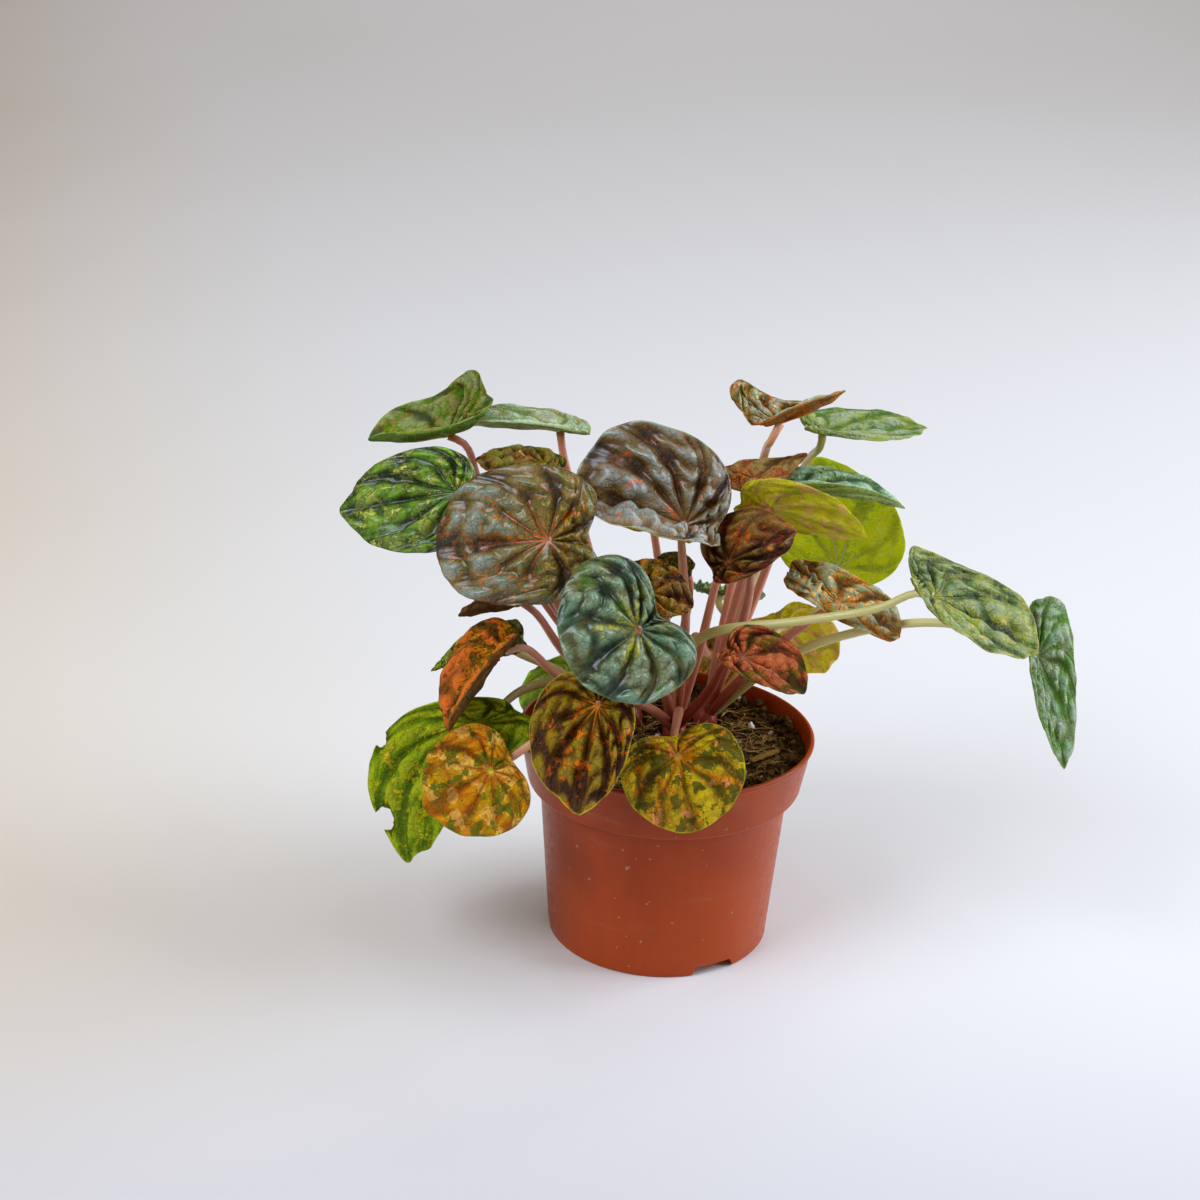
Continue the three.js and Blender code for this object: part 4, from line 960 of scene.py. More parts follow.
def blade_material(plan, look, sizes, colours, seed):
    """A rippled, mottled blade. The polar map gives the angle and the way to the margin, from which the
    distance to the veins is worked out. The flat attribute, the place on the unrolled blade, carries the
    mottling: noises from about 8 mm down to 0.3 mm, cut off at a level for each share of blotches and
    flecks. The ridge tops carry painted sheen and the valleys painted shade. At last the colour of both
    sides is multiplied by the blade's own tint and by painted shade and light, darker in the valleys than
    on the ridges."""
    paint = lambda key: getattr(colours, look[key])
    s = Shader(plan["name"])
    around, way, _ = s.parts(s.uv("polar"))
    ridge, under = s.attribute("ridge"), s.attribute("under")
    plain = s.shifted(s.attribute("flat", "Vector"), (seed * 0.37, seed * 0.71, seed * 0.13))
    flat = s.warped(plain, 60, 0.012)
    spread = (np.linalg.norm(plan["tip"]) + plan["lobe"] + sum(plan["half"])) / 4
    phase = around * plan["veins"]
    offset = abs(phase - s.maths("ROUND", phase))
    gap = way * (TURN / plan["veins"] * spread)
    vein = sizes.vein / MM
    dist = offset * gap
    fine = s.noise(plain, 420, 2, 0.6)
    grain = s.noise(flat, 130, 4, 0.7)
    broad = s.noise(plain, 11, 3, 0.55)
    main = s.smooth(dist + grain * 0.3, vein * 0.35, vein * 1.1 + 0.15, 1, 0)
    open_ = s.maths("SQRT", s.maths("MAXIMUM", (way - sizes.fork) / (1 - sizes.fork), 0.0))
    fork = s.smooth(abs(offset - open_ * FORK_REACH) * gap + grain * 0.4, 0.25, 0.85, 1, 0)
    fork = fork * s.smooth(way, sizes.fork + 0.04, sizes.fork + 0.2, 0, 0.5)
    veins = s.maths("MAXIMUM", main * s.smooth(way, 0.1, 0.55, 1, 0.1), fork * 0.4)
    net = s.smooth(s.cells(flat, 30, "DISTANCE_TO_EDGE"), 0.0, 0.13, 1, 0)
    spots = s.noise(flat, 100 / look["patch_size"], 4, look["patch_rough"])
    tilt = (broad - 0.5) * 0.5 + (grain - 0.5) * 0.22
    edge = level(look["patch_part"])
    patch = s.smooth(spots + tilt - (ridge - 0.5) * 0.1, edge - 0.012, edge + 0.02)
    streaks = s.noise(s.vector(phase * 2.6 + grain * 1.1, way * 5.0 + grain * 0.4, seed * 2.3), 1.2, 4, 0.7)
    edge = level(look["fleck_part"])
    fleck = s.smooth(streaks + tilt * 1.3 - (way - 0.5) * look["fleck_fade"], edge, edge + 0.03)
    top = s.mix(paint("ground"), paint("second"), s.smooth(broad + (grain - 0.5) * 0.6, 0.42, 0.58))
    # The ridge colour on the ridge tops is partly the ridges' own lighter colour and partly painted sheen,
    # where light would gloss on them. fade can keep it to one stretch of the blade.
    ridge_colour_and_sheen = ridge + tilt * 1.1 + (fine - 0.5) * 0.3 - patch * 0.2
    ridge_colour_and_sheen = s.smooth(ridge_colour_and_sheen, look["ridge_from"], 1.0, 0, look["ridge_part"])
    along, _, _ = s.parts(s.attribute("flat", "Vector"))
    top = s.mix(top, paint("ridge"), ridge_colour_and_sheen * s.smooth(along + tilt * 0.2, *look["fade"]))
    # The valley colour in the hollows: partly their own darker colour, partly painted shade.
    valley_colour_and_shade = s.smooth(ridge + tilt * 0.6, 0.1, 0.62, look["valley_part"], 0)
    top = s.mix(top, paint("valley"), valley_colour_and_shade * s.smooth(way, 0.02, 0.2))
    top = s.mix(top, paint("fleck"), fleck * 0.85)
    top = s.mix(top, paint("patch"), patch * 0.8)
    if "blotch" in look:
        clouds = s.noise(s.shifted(flat, (3.1, 1.7, 0.9)), 14, 4, 0.6)
        top = s.mix(top, paint("blotch"), s.smooth(clouds + tilt * 0.4, 0.54, 0.57, 0, 0.9))
    # The valley colour along the net between the puffs: partly the fine veins' own colour, partly painted
    # shade in their grooves.
    top = s.mix(top, paint("valley"), net * s.smooth(broad, 0.3, 0.7, 0.12, 0.32))
    top = s.mix(top, paint("vein"), veins * look["vein_part"])
    top = s.mix(top, paint("navel"), s.smooth(way + grain * 0.06, 0.05, 0.12, 0.8, 0))
    top = s.mix(top, paint("margin"), s.smooth(way, 0.975, 0.992, 0, 0.55))
    # Painted shade and light: darker in the valleys and lighter on the ridges, as light falls on the ripple,
    # less so on a calm blade; then a fine random grain. Both sides are multiplied by it, together with the
    # blade's own tint.
    shade = s.smooth(ridge + tilt * 0.7, 0.08, 0.85, 0.4 + look["calm"] * 0.4, 1.2 - look["calm"] * 0.1)
    shade = shade * s.smooth(fine, 0.28, 0.72, 0.72, 1.3)
    tint = s.vector(*(shade * value for value in look["tint"]))
    top = s.node("ShaderNodeVectorMath", {0: top, 1: tint}, operation="MULTIPLY")
    back = s.mix(paint("back"), paint("ground"), s.smooth(broad + (grain - 0.5) * 0.6, 0.42, 0.62, 0, 0.5))
    back = s.mix(back, paint("patch"), patch * 0.6)
    back = s.mix(back, paint("back_vein"), s.maths("MAXIMUM", veins, net * 0.25) * 0.6)
    back = s.node("ShaderNodeVectorMath", {0: back, 1: tint}, operation="MULTIPLY")
    rumple = s.noise(plain, 32, 3, 0.5)
    relief = rumple * 1.6 * (1 - look["calm"] * 0.6) + grain * 0.5 + fine * 0.25 - net * 0.35 - veins * 0.7
    gloss = s.smooth(ridge + (grain - 0.5) * 1.2, 0.2, 0.9, look["gloss"] + 0.15, look["gloss"] - 0.04)
    return s.finish(
        Base_Color=s.mix(top, back, under),
        Roughness=gloss + under * 0.14,
        Subsurface_Weight=look["glow"],
        Subsurface_Radius=(0.9, 1.0, 0.25),
        Subsurface_Scale=0.0016,
        Specular_IOR_Level=look["shine"],
        Coat_Weight=look["coat"],
        Coat_Roughness=0.26,
        Normal=s.bump(relief, 0.0012, 0.9),
    )


def ragged_bite(start, end, radius, seed):
    """A cutter for a bite out of a margin: a rod whose radius wobbles round it by three sines."""
    draws = np.random.default_rng(seed).uniform(0, TURN, 3)
    turn = np.arange(BITE_SIDES) / BITE_SIDES * TURN
    wobble = 0.07 * np.sin(3 * turn + draws[0]) + 0.05 * np.sin(7 * turn + draws[1])
    wobble = wobble + 0.03 * np.sin(13 * turn + draws[2])
    path = np.array([start, end], float)
    rings = tube_rings(path, np.full(2, radius), BITE_SIDES, np.array([1.0, 0, 0]))
    middle = path[:, None]
    return plain_mesh(*spindle(middle + (rings - middle) * (1 + wobble)[:, None], *path)[:2])


def make_blade(plan, colours, sizes, seed):
    """One blade with its own material, and the bites out of its margin."""
    own_look = LOOKS[plan["name"]]
    material = blade_material(plan, own_look, sizes, colours, seed)
    body = blade_body(plan, sizes, own_look["calm"], seed)
    made = body.piece(plan["name"] + "_blade", material, plan["name"])
    for number, (x, y, z, radius) in enumerate(plan["bites"]):
        cut(made, [ragged_bite((x, y - BITE_REACH, z), (x, y + BITE_REACH, z), radius, seed + number)])
    return made


# ---------------------------------------------------------------- stalks and crowns


def curve_through(points, steps):
    """A smooth path through points: on each stretch a cubic whose end slopes come from the neighbouring
    points, weighed by the square roots of the distances. Then it is measured out in even steps."""
    points = np.array(points, float)
    ends = np.concatenate([[2 * points[0] - points[1]], points, [2 * points[-1] - points[-2]]])
    p0, p1, p2, p3 = ends[:-3], ends[1:-2], ends[2:-1], ends[3:]
    root = lambda a, b: np.sqrt(np.linalg.norm(b - a, axis=1))[:, None]
    d0, d1, d2 = root(p0, p1), root(p1, p2), root(p2, p3)
    slope1 = ((p1 - p0) / d0 - (p2 - p0) / (d0 + d1) + (p2 - p1) / d1) * d1
    slope2 = ((p2 - p1) / d1 - (p3 - p1) / (d1 + d2) + (p3 - p2) / d2) * d1
    t = np.linspace(0, 1, 40, endpoint=False)[None, :, None]
    a, b, c, d = (v[:, None, :] for v in (p1, p2, slope1, slope2))
    fine = a * (2 * t**3 - 3 * t**2 + 1) + b * (3 * t**2 - 2 * t**3)
    fine = fine + c * (t**3 - 2 * t**2 + t) + d * (t**3 - t**2)
    fine = np.concatenate([fine.reshape(-1, 3), points[-1:]])
    run = np.concatenate([[0], np.cumsum(np.linalg.norm(np.diff(fine, axis=0), axis=1))])
    even = np.linspace(0, run[-1], steps + 1)
    return np.stack([np.interp(even, run, fine[:, i]) for i in range(3)], -1), even


def stalk_path(plan, steps):
    """A petiole's path, from its crown past the points it bends at to the inside of its blade."""
    at, along, _, up, _ = blade_axes(plan)
    end = at - up * STALK_END_DEPTH
    behind, below = plan["approach"]
    foot = (*ROSETTES[plan["rosette"]], SOIL_SURFACE + STALK_BASE_RISE)
    return curve_through([foot, *plan["via"], end - along * behind - up * below, end], steps)


def crown_rings(x, y, sizes):
    """Rings of one crown: a profile of radii and heights turned about an upright line, gently lobed."""
    radius, foot = sizes.crown / MM, SOIL_SURFACE - sizes.depth / MM
    profile = [(radius - 1.2, foot), (radius, foot + 1.2), (radius, foot + 5), (radius, SOIL_SURFACE - 0.6)]
    profile += [(radius - 0.15, SOIL_SURFACE + 1.2), (4.4, 83.8), (3.6, 85.4), (2.2, 86.7), (1, 87.1)]
    r, z = np.array(profile, float).T
    turn = np.arange(CROWN_SIDES) / CROWN_SIDES * TURN
    r = r[:, None] * (1 - 0.04 + 0.04 * np.cos(5 * turn + x))
    rings = np.stack([x + r * np.cos(turn), y + r * np.sin(turn), np.broadcast_to(z[:, None], r.shape)], -1)
    return rings, np.array([x, y, foot]), np.array([x, y, CROWN_TOP])


def make_rosette(rosette, sizes):
    """One crown and its petioles: round stalks that thin evenly upwards, swollen by a bell under the blade
    and a little by a sine on the way, with shallow flutes."""
    body = Body()
    x, y = ROSETTES[rosette]
    rings, foot, top = crown_rings(x, y, sizes)
    points, faces, rows, around = spindle(rings, foot, top)
    run = corner_map(rows, around, lambda r, c: (c / CROWN_SIDES, r / 100))
    values = {"green": np.full(len(points), 0.1), "dark": np.full(len(points), 0.9)}
    body.add(points, faces, {"run": run}, values)
    draws = np.random.default_rng(sum(map(ord, rosette)))
    for plan in LEAVES:
        if plan["rosette"] != rosette:
            continue
        path, even = stalk_path(plan, sizes.steps)
        way = even / even[-1]
        radius = (sizes.base + (sizes.top - sizes.base) * way) / MM
        swollen = 0.16 * np.exp(-((1 - way) / 0.02) ** 2)
        radius = radius * (1 + swollen + 0.03 * np.sin(9 * way + draws.uniform(0, 6)))
        across = np.linalg.svd(np.gradient(path, axis=0))[2][2]
        rings = tube_rings(path, radius, sizes.sides, across, 0.05)
        points, faces, rows, around = spindle(rings, path[0], path[-1])
        green, dark = STALK_TINTS.get(plan["name"], (draws.uniform(0.0, 0.3), draws.uniform(0.1, 0.5)))
        along = np.concatenate([[0], np.repeat(way, sizes.sides), [1]])
        run = corner_map(rows, around, lambda r, c: (c / sizes.sides, even[np.clip(r, 0, sizes.steps)] / 100))
        values = {"green": np.clip(green + 0.15 * (along - 0.5), 0, 1)}
        values["dark"] = np.clip(dark + 0.55 * np.exp(-along / 0.16), 0, 1)
        body.add(points, faces, {"run": run}, values)
    return body.piece(rosette + "_stalks", stalk_material(rosette, sizes), "stems_" + rosette)


# How green and how dark the petioles are that differ from the ordinary pink-red ones.
STALK_TINTS = {
    "leaf_far_right_pale": (1.0, -0.5),
    "leaf_far_right_drooping": (0.95, -0.3),
    "leaf_low_left_green": (0.9, 0.35),
    "leaf_left_edge_on": (0.7, 0.2),
    "leaf_high_right_green": (0.8, 0.1),
    "leaf_right_lime_back": (1.0, 0.0),
    "leaf_right_olive_round": (0.55, 0.3),
    "leaf_small_red": (0.0, 0.8),
    "leaf_back_low_left": (0.8, 0.3),
    "leaf_back_right": (0.6, 0.2),
}


def stalk_material(name, sizes):
    """Fleshy petioles: pink-red to green, darker at the foot, with fine dark streaks and pale dots."""
    s = Shader(name + "_stalks")
    around, way, _ = s.parts(s.uv("run"))
    green, dark = s.attribute("green"), s.attribute("dark")
    cloud = s.noise(s.place(), 90, 3, 0.6)
    streak = s.noise(s.vector(around * 7, way * 9), 2.0, 4, 0.7)
    dots = s.noise(s.vector(around * 9, way * 70), 4.0, 2, 0.6)
    base = s.mix(sizes.flush, sizes.leafy, s.smooth(green + cloud * 0.5, 0.45, 1.0))
    base = s.mix(base, sizes.deep, s.smooth(dark + streak * 0.7, 0.45, 1.25))
    base = s.mix(base, sizes.deep, s.smooth(dots, 0.56, 0.68, 0, 0.45))
    base = s.mix(base, sizes.bloom, s.smooth(dots, 0.3, 0.42, 0.3, 0))
    return s.finish(
        Base_Color=base,
        Roughness=s.smooth(cloud, 0.3, 0.7, 0.3, 0.46),
        Subsurface_Weight=0.2,
        Subsurface_Radius=(1.0, 0.5, 0.3),
        Subsurface_Scale=0.0015,
        Coat_Weight=0.15,
        Normal=s.bump(streak * 0.6 + dots * 0.4, 0.0003, 0.5),
    )


# ---------------------------------------------------------------- the pot


def rounded(profile, radii, steps=4):
    """A profile with each corner rounded by a parabola towards it, between points set back from it."""
    profile = np.array(profile, float)
    out = [profile[:1]]
    t = np.linspace(0, 1, steps + 1)[:, None]
    for before, here, after, radius in zip(profile, profile[1:], profile[2:], radii[1:]):
        back, on = before - here, after - here
        setback = min(radius, 0.45 * np.linalg.norm(back), 0.45 * np.linalg.norm(on))
        start, end = here + unit(back) * setback, here + unit(on) * setback
        out.append((1 - t) ** 2 * start + 2 * t * (1 - t) * here + t**2 * end)
    out.append(profile[-1:])
    return np.concatenate(out)


def around_axis(sides):
    """The angles of a turned piece's points, set off from the axes so that no seam lies in sight."""
    return (np.arange(sides) + SEAM_TURN) / sides * TURN


def lathe(profile, sides):
    """Rings and poles of a body turned about the upright axis, from radii and heights that end on it."""
    r, z = profile[1:-1].T[..., None]
    turn = around_axis(sides)
    rings = np.stack([r * np.cos(turn), r * np.sin(turn), np.repeat(z, sides, 1)], -1)
    return rings, np.array([0, 0, profile[0][1]]), np.array([0, 0, profile[-1][1]])


def notch_block(angle):
    """A cutter for a water notch at an angle in degrees: a block through the foot ring, narrower above."""
    half = math.radians(POT_NOTCH_WIDTH / 2) * POT_FOOT_RADIUS
    corners = ((-half, -1), (half, -1), (half - 2.5, 4), (2.5 - half, 4))
    reaches = (POT_FOOT_RADIUS - 6, POT_FOOT_RADIUS + 6)
    rings = np.array([[(reach, y, z) for y, z in corners] for reach in reaches], float)
    a = math.radians(angle)
    turned = np.array([[math.cos(a), math.sin(a), 0], [-math.sin(a), math.cos(a), 0], [0, 0, 1]])
    rings = rings @ turned
    return plain_mesh(*spindle(rings, rings[0].mean(0), rings[1].mean(0))[:2])


def make_pot(sizes):
    """The nursery pot: one moulding, a turned profile with rounded corners, drain holes and notches."""
    rim, wall = sizes.rim / MM, sizes.wall / MM
    band_foot = POT_HEIGHT - sizes.band / MM
    lip_foot, shelf = POT_HEIGHT - 2.2, band_foot + 0.9 + wall
    flare, band = rim - 0.9 - POT_BAND_RADIUS, POT_HEIGHT - band_foot
    inside = lambda z: POT_FOOT_RADIUS + (POT_WALL_RADIUS - POT_FOOT_RADIUS) * z / band_foot - wall
    band_inside = lambda z: POT_BAND_RADIUS + flare * (z - band_foot) / band - wall
    low = POT_FLOOR + 2
    # Under the base and out to the foot ring, up the wall and the band, over the lip and down the inside.
    profile = [
        (0, 0), (14, 0), (14.6, 3.2), (42.1, 3.2), (42.7, 0), (44.7, 0), (45.3, 0.6),
        (POT_WALL_RADIUS, band_foot - 0.6), (POT_BAND_RADIUS - 0.6, band_foot),
        (POT_BAND_RADIUS, band_foot + 0.9), (rim - 0.9, lip_foot), (rim, lip_foot + 0.6),
        (rim, POT_HEIGHT - 0.6), (rim - 0.6, POT_HEIGHT), (rim - 1.6, POT_HEIGHT),
        (band_inside(lip_foot), lip_foot), (band_inside(shelf), shelf), (inside(shelf), shelf - 0.6),
        (inside(low), low), (inside(POT_FLOOR) - 2, POT_FLOOR), (0, POT_FLOOR),
    ]
    radii = [0, 0.3, 0.4, 0.4, 0.4, 0.4, 0.4, 1.1, 0.5, 0.6, 0.5, 0.4, 0.5, 0.5, 0.4, 1, 1, 1, 1, 1, 0]
    body = Body()
    body.add(*spindle(*lathe(rounded(profile, radii), sizes.sides))[:2])
    made = body.piece("nursery_pot", pot_material(sizes), "pot")
    cutters = [notch_block(angle) for angle in POT_NOTCH_ANGLES]
    for number in range(DRAIN_HOLES):
        a = (number + 0.5) / DRAIN_HOLES * TURN
        x, y = DRAIN_PLACE * math.cos(a), DRAIN_PLACE * math.sin(a)
        cutters.append(plain_mesh(*rod((x, y, -1), (x, y, 6), DRAIN_RADIUS, 40)))
    cut(made, cutters)
    made.data.set_sharp_from_angle(angle=math.radians(38))
    return made


def pot_material(sizes):
    """Moulded plastic: red-brown, faintly clouded and streaked, with dust and splashes of potting mix."""
    s = Shader("pot_plastic")
    place = s.place()
    x, y, z = s.parts(place)
    cloud = s.noise(place, 14, 3, 0.5)
    fine = s.noise(place, 420, 3, 0.65)
    run = s.noise(s.vector(x * 60, y * 60, z * 7), 4.0, 4, 0.65)
    specks = s.noise(place, 330, 2, 0.5)
    smear = s.noise(s.vector(x * 8, y * 8, z * 30), 3.0, 5, 0.7)
    high = s.smooth(z, 0.04, 0.089)
    base = s.mix(sizes.shade, sizes.clay, s.smooth(cloud + run * 0.2, 0.35, 0.75))
    dusty = s.smooth(smear + fine * 0.3, 0.68, 0.9, 0, 0.22) * (0.45 + high * 0.55)
    base = s.mix(base, sizes.dust, dusty)
    base = s.mix(base, sizes.dust, s.smooth(specks, 0.71, 0.76, 0, 0.7))
    return s.finish(
        Base_Color=base,
        Roughness=s.smooth(fine + dusty, 0.35, 1.0, 0.3, 0.62),
        Specular_IOR_Level=0.22,
        Normal=s.bump(fine * 0.5 + run * 0.5, 0.00012, 0.6),
    )


# ---------------------------------------------------------------- potting mix and litter


def soil_height(x, y):
    """Height of the potting mix: two crossed waves and a slanting one, as soft lumps."""
    wave = TURN / LUMP_PITCH
    crossed = np.sin(wave * x + 1.1) * np.cos(0.9 * wave * y - 0.6)
    return SOIL_SURFACE + LUMP_HEIGHT * (crossed + 0.6 * np.sin(2.3 * wave * x - 1.7 * wave * y))


def make_mix(settings):
    """The body of the potting mix: a turned profile whose top carries the lumps and three sizes of noise,
    and drops by an eased step into a hole round each crown."""
    profile = np.array([(0, 5), (40, 5), (42.3, 7), (48.8, 69.7), (54.2, 70.4), (56.2, 80.2), (0, 81)], float)
    rings, first, _ = lathe(profile, MIX_SIDES)
    r = MIX_RADIUS * np.linspace(1, 0.01, 110)[:, None]
    turn = around_axis(MIX_SIDES)
    x, y = r * np.cos(turn), r * np.sin(turn)
    rough = sum(
        high * lattice_noise(x / size + shift, y / size + shift, seed)
        for high, size, shift, seed in MIX_ROUGHNESS
    )
    height = soil_height(x, y) - 0.4 + 2 * smoothstep(r, 42, 53) + rough * smoothstep(-r, -56.5, -54)
    away = np.min([np.hypot(x - a, y - b) for a, b in ROSETTES.values()], axis=0)
    height = HOLE_FLOOR + (height - HOLE_FLOOR) * smoothstep(away, *HOLE_EDGE)
    top = np.stack([x, y, height], -1)
    body = Body()
    body.add(*spindle(np.concatenate([rings, top]), first, np.array([0, 0, soil_height(0, 0) - 0.3]))[:2])
    return body.piece("potting_mix", mix_material(settings), "soil")


def mix_material(settings, name="potting_mix", dark="peat", light="dry"):
    """Damp peat: dark, with drier crumbs and a few pale bits, all rough."""
    s = Shader(name)
    place = s.place()
    fine = s.noise(place, 900, 4, 0.7)
    broad = s.noise(place, 110, 3, 0.6)
    bits = s.cells(place, 700)
    base = s.mix(getattr(settings, dark), getattr(settings, light), s.smooth(fine + broad * 0.6, 0.7, 1.15))
    pale = s.smooth(bits + fine * 0.2, 0.14, 0.2, 0.4, 0) * s.smooth(broad, 0.5, 0.7)
    return s.finish(
        Base_Color=s.mix(base, settings.fibre, pale),
        Roughness=s.smooth(fine, 0.3, 0.7, 0.8, 1),
        Specular_IOR_Level=settings.peat_shine,
        Normal=s.bump(fine, 0.0006, 0.8),
    )


def scattered(number, draws, spread, keep=0.0):
    """Places on the potting mix: even over the disc beyond the share keep of its area, out of the crowns'
    holes, as x, y and the height there."""
    r, turn = spread * np.sqrt(draws.uniform(keep, 1, number * 2)), draws.uniform(0, TURN, number * 2)
    x, y = r * np.cos(turn), r * np.sin(turn)
    free = np.all([np.hypot(x - a, y - b) > 7 for a, b in ROSETTES.values()], axis=0)
    x, y = x[free][:number], y[free][:number]
    return np.stack([x, y, soil_height(x, y)], -1)


def turns(number, draws):
    """Random turns, one 3 by 3 array each, from unit quaternions."""
    w, x, y, z = unit(draws.normal(size=(number, 4))).T
    return np.stack([
        np.stack([1 - 2 * (y * y + z * z), 2 * (x * y - z * w), 2 * (x * z + y * w)], -1),
        np.stack([2 * (x * y + z * w), 1 - 2 * (x * x + z * z), 2 * (y * z - x * w)], -1),
        np.stack([2 * (x * z - y * w), 2 * (y * z + x * w), 1 - 2 * (x * x + y * y)], -1),
    ], -2)


def pebbles(centres, sizes, draws, flat=0.6, finer=1):
    """Small lumps: a ball of 20 faces, or of 80 where finer is 2, squashed along its own axes, dented at
    random and turned at random."""
    ball = bmesh.new()
    bmesh.ops.create_icosphere(ball, subdivisions=finer, radius=1)
    points = np.array([vertex.co[:] for vertex in ball.verts])
    faces = np.array([[vertex.index for vertex in face.verts] for face in ball.faces])
    ball.free()
    number = len(centres)
    axes = draws.uniform(flat, 1, (number, 1, 3)) * np.reshape(sizes, (-1, 1, 1))
    dents = 1 + draws.uniform(-0.3, 0.2, (number, len(points), 1))
    lumps = np.einsum("nij,npj->npi", turns(number, draws), points * dents * axes)
    return (lumps + centres[:, None]).reshape(-1, 3), [faces + len(points) * i for i in range(number)]


def wood_chip(start, end, draws):
    """A split of wood between two points of the potting mix: flat rings, narrower at both ends by a fifth
    power and ragged at random."""
    path = np.linspace([*start, soil_height(*start) + 1.6], [*end, soil_height(*end) + 2.4], CHIP_RINGS)
    ends = np.abs(np.linspace(-1, 1, CHIP_RINGS))[:, None] ** 5
    turn = np.arange(CHIP_SIDES) / CHIP_SIDES * TURN
    across = unit(np.cross(path[-1] - path[0], [0, 0, 1]))
    wide = 1.7 * (1 - 0.5 * ends) * (1 + draws.uniform(-0.2, 0.2, (CHIP_RINGS, CHIP_SIDES)))
    thick = 0.8 * (1 - 0.4 * ends) * (1 + draws.uniform(-0.3, 0.3, (CHIP_RINGS, CHIP_SIDES)))
    rings = path[:, None] + (wide * np.cos(turn))[..., None] * across
    rings = rings + (thick * np.sin(turn))[..., None] * np.array([0, 0, 1.0])
    return spindle(rings[:, ::-1], path[0], path[-1])[:2]


def fibre_rings(number, draws):
    """Fine roots and fibres, as rings and paths. A path is a parabola: straight on by its share t of the
    reach, aside by t squared. It is drawn in from the wall and laid on the potting mix. Its radius falls to
    the ends as the square root of 1 less t squared."""
    places = scattered(number, draws, FIBRE_RADIUS)
    t = np.linspace(-1, 1, FIBRE_POINTS)
    reach = draws.uniform(1.5, 7, (number, 1, 1))
    heading = draws.uniform(0, TURN, number)
    ahead = np.stack([np.cos(heading), np.sin(heading), draws.uniform(-0.2, 0.3, number)], -1)[:, None]
    aside = np.stack([-np.sin(heading), np.cos(heading), 0 * heading], -1)[:, None]
    bend = draws.uniform(-0.6, 0.6, (number, 1, 1))
    path = places[:, None] + reach * (ahead * t[:, None] + aside * bend * (t**2)[:, None])
    rim = LITTER_RADIUS / np.maximum(np.hypot(path[..., 0], path[..., 1]), LITTER_RADIUS)
    path[..., :2] = path[..., :2] * rim[..., None]
    path[..., 2] = np.minimum(path[..., 2], soil_height(path[..., 0], path[..., 1]) + 2.4) + 1.3
    radius = draws.uniform(0.13, 0.38, (number, 1)) * np.sqrt(1.05 - t**2)
    return tube_rings(path, radius, 4, np.array([0, 0, 1.0])), path


def litter_piece(name, material, *shapes):
    """One piece of litter from closed shapes, each as points and faces."""
    body = Body()
    for points, faces in shapes:
        body.add(points, faces)
    return body.piece(name, material, slot=SLOTS["soil"])


def make_litter(settings):
    """Loose bits on the potting mix: crumbs of peat, fine roots and fibres, perlite and one wood chip."""
    draws = np.random.default_rng(LITTER_SEED)
    places = scattered(settings.crumbs, draws, CRUMB_RADIUS)
    crumbs = pebbles(places, draws.uniform(0.5, 1.0, len(places)) ** 2 * 1.5, draws)
    places = scattered(settings.lumps, draws, LITTER_RADIUS, 0.7)
    away = smoothstep(np.hypot(places[:, 0], places[:, 1]), 44, 53)
    places[:, 2] += 0.6 + away * draws.uniform(1.2, 5.2, len(places))
    lumps = pebbles(places, draws.uniform(0.5, 1.0, len(places)) * 2.6, draws, 0.5, 2)
    litter_piece("peat_crumbs", mix_material(settings, "peat_crumbs", "crumb", "dry"), crumbs, lumps)
    rings, paths = fibre_rings(settings.fibres, draws)
    fibres = [spindle(one, path[0], path[-1])[:2] for one, path in zip(rings, paths)]
    litter_piece("fine_roots", mix_material(settings, "fine_roots", "root", "fibre"), *fibres)
    places = scattered(settings.perlite, draws, PERLITE_RADIUS) + [0, 0, 0.8]
    loose = pebbles(places, draws.uniform(0.4, 1.0, len(places)) ** 1.5 * 1.9, draws, 0.75, 2)
    x, y = (HEAP_PLACE + draws.normal(size=(HEAP_GRAINS, 2)) * HEAP_SPREAD).T
    places = np.stack([x, y, soil_height(x, y) + HEAP_RISE], -1)
    heap = pebbles(places, draws.uniform(0.5, 1.4, HEAP_GRAINS), draws, 0.75, 2)
    litter_piece("perlite", perlite_material(settings), loose, heap)
    chip = wood_chip(*CHIP_ENDS, draws)
    litter_piece("wood_chip", mix_material(settings, "wood_chip", "root", "chip"), chip)


def perlite_material(settings):
    """White foamed grains, slightly soiled in their pits."""
    s = Shader("perlite")
    pits = s.cells(s.place(), 1500)
    soil = s.noise(s.place(), 300, 3, 0.6)
    base = s.mix(settings.grain, settings.dry, s.smooth(soil, 0.5, 0.75, 0, 0.5))
    return s.finish(Base_Color=base, Roughness=s.smooth(soil, 0, 1, 0.8, 1), Normal=s.bump(pits, 0.0004, 0.8))


# ---------------------------------------------------------------- stage


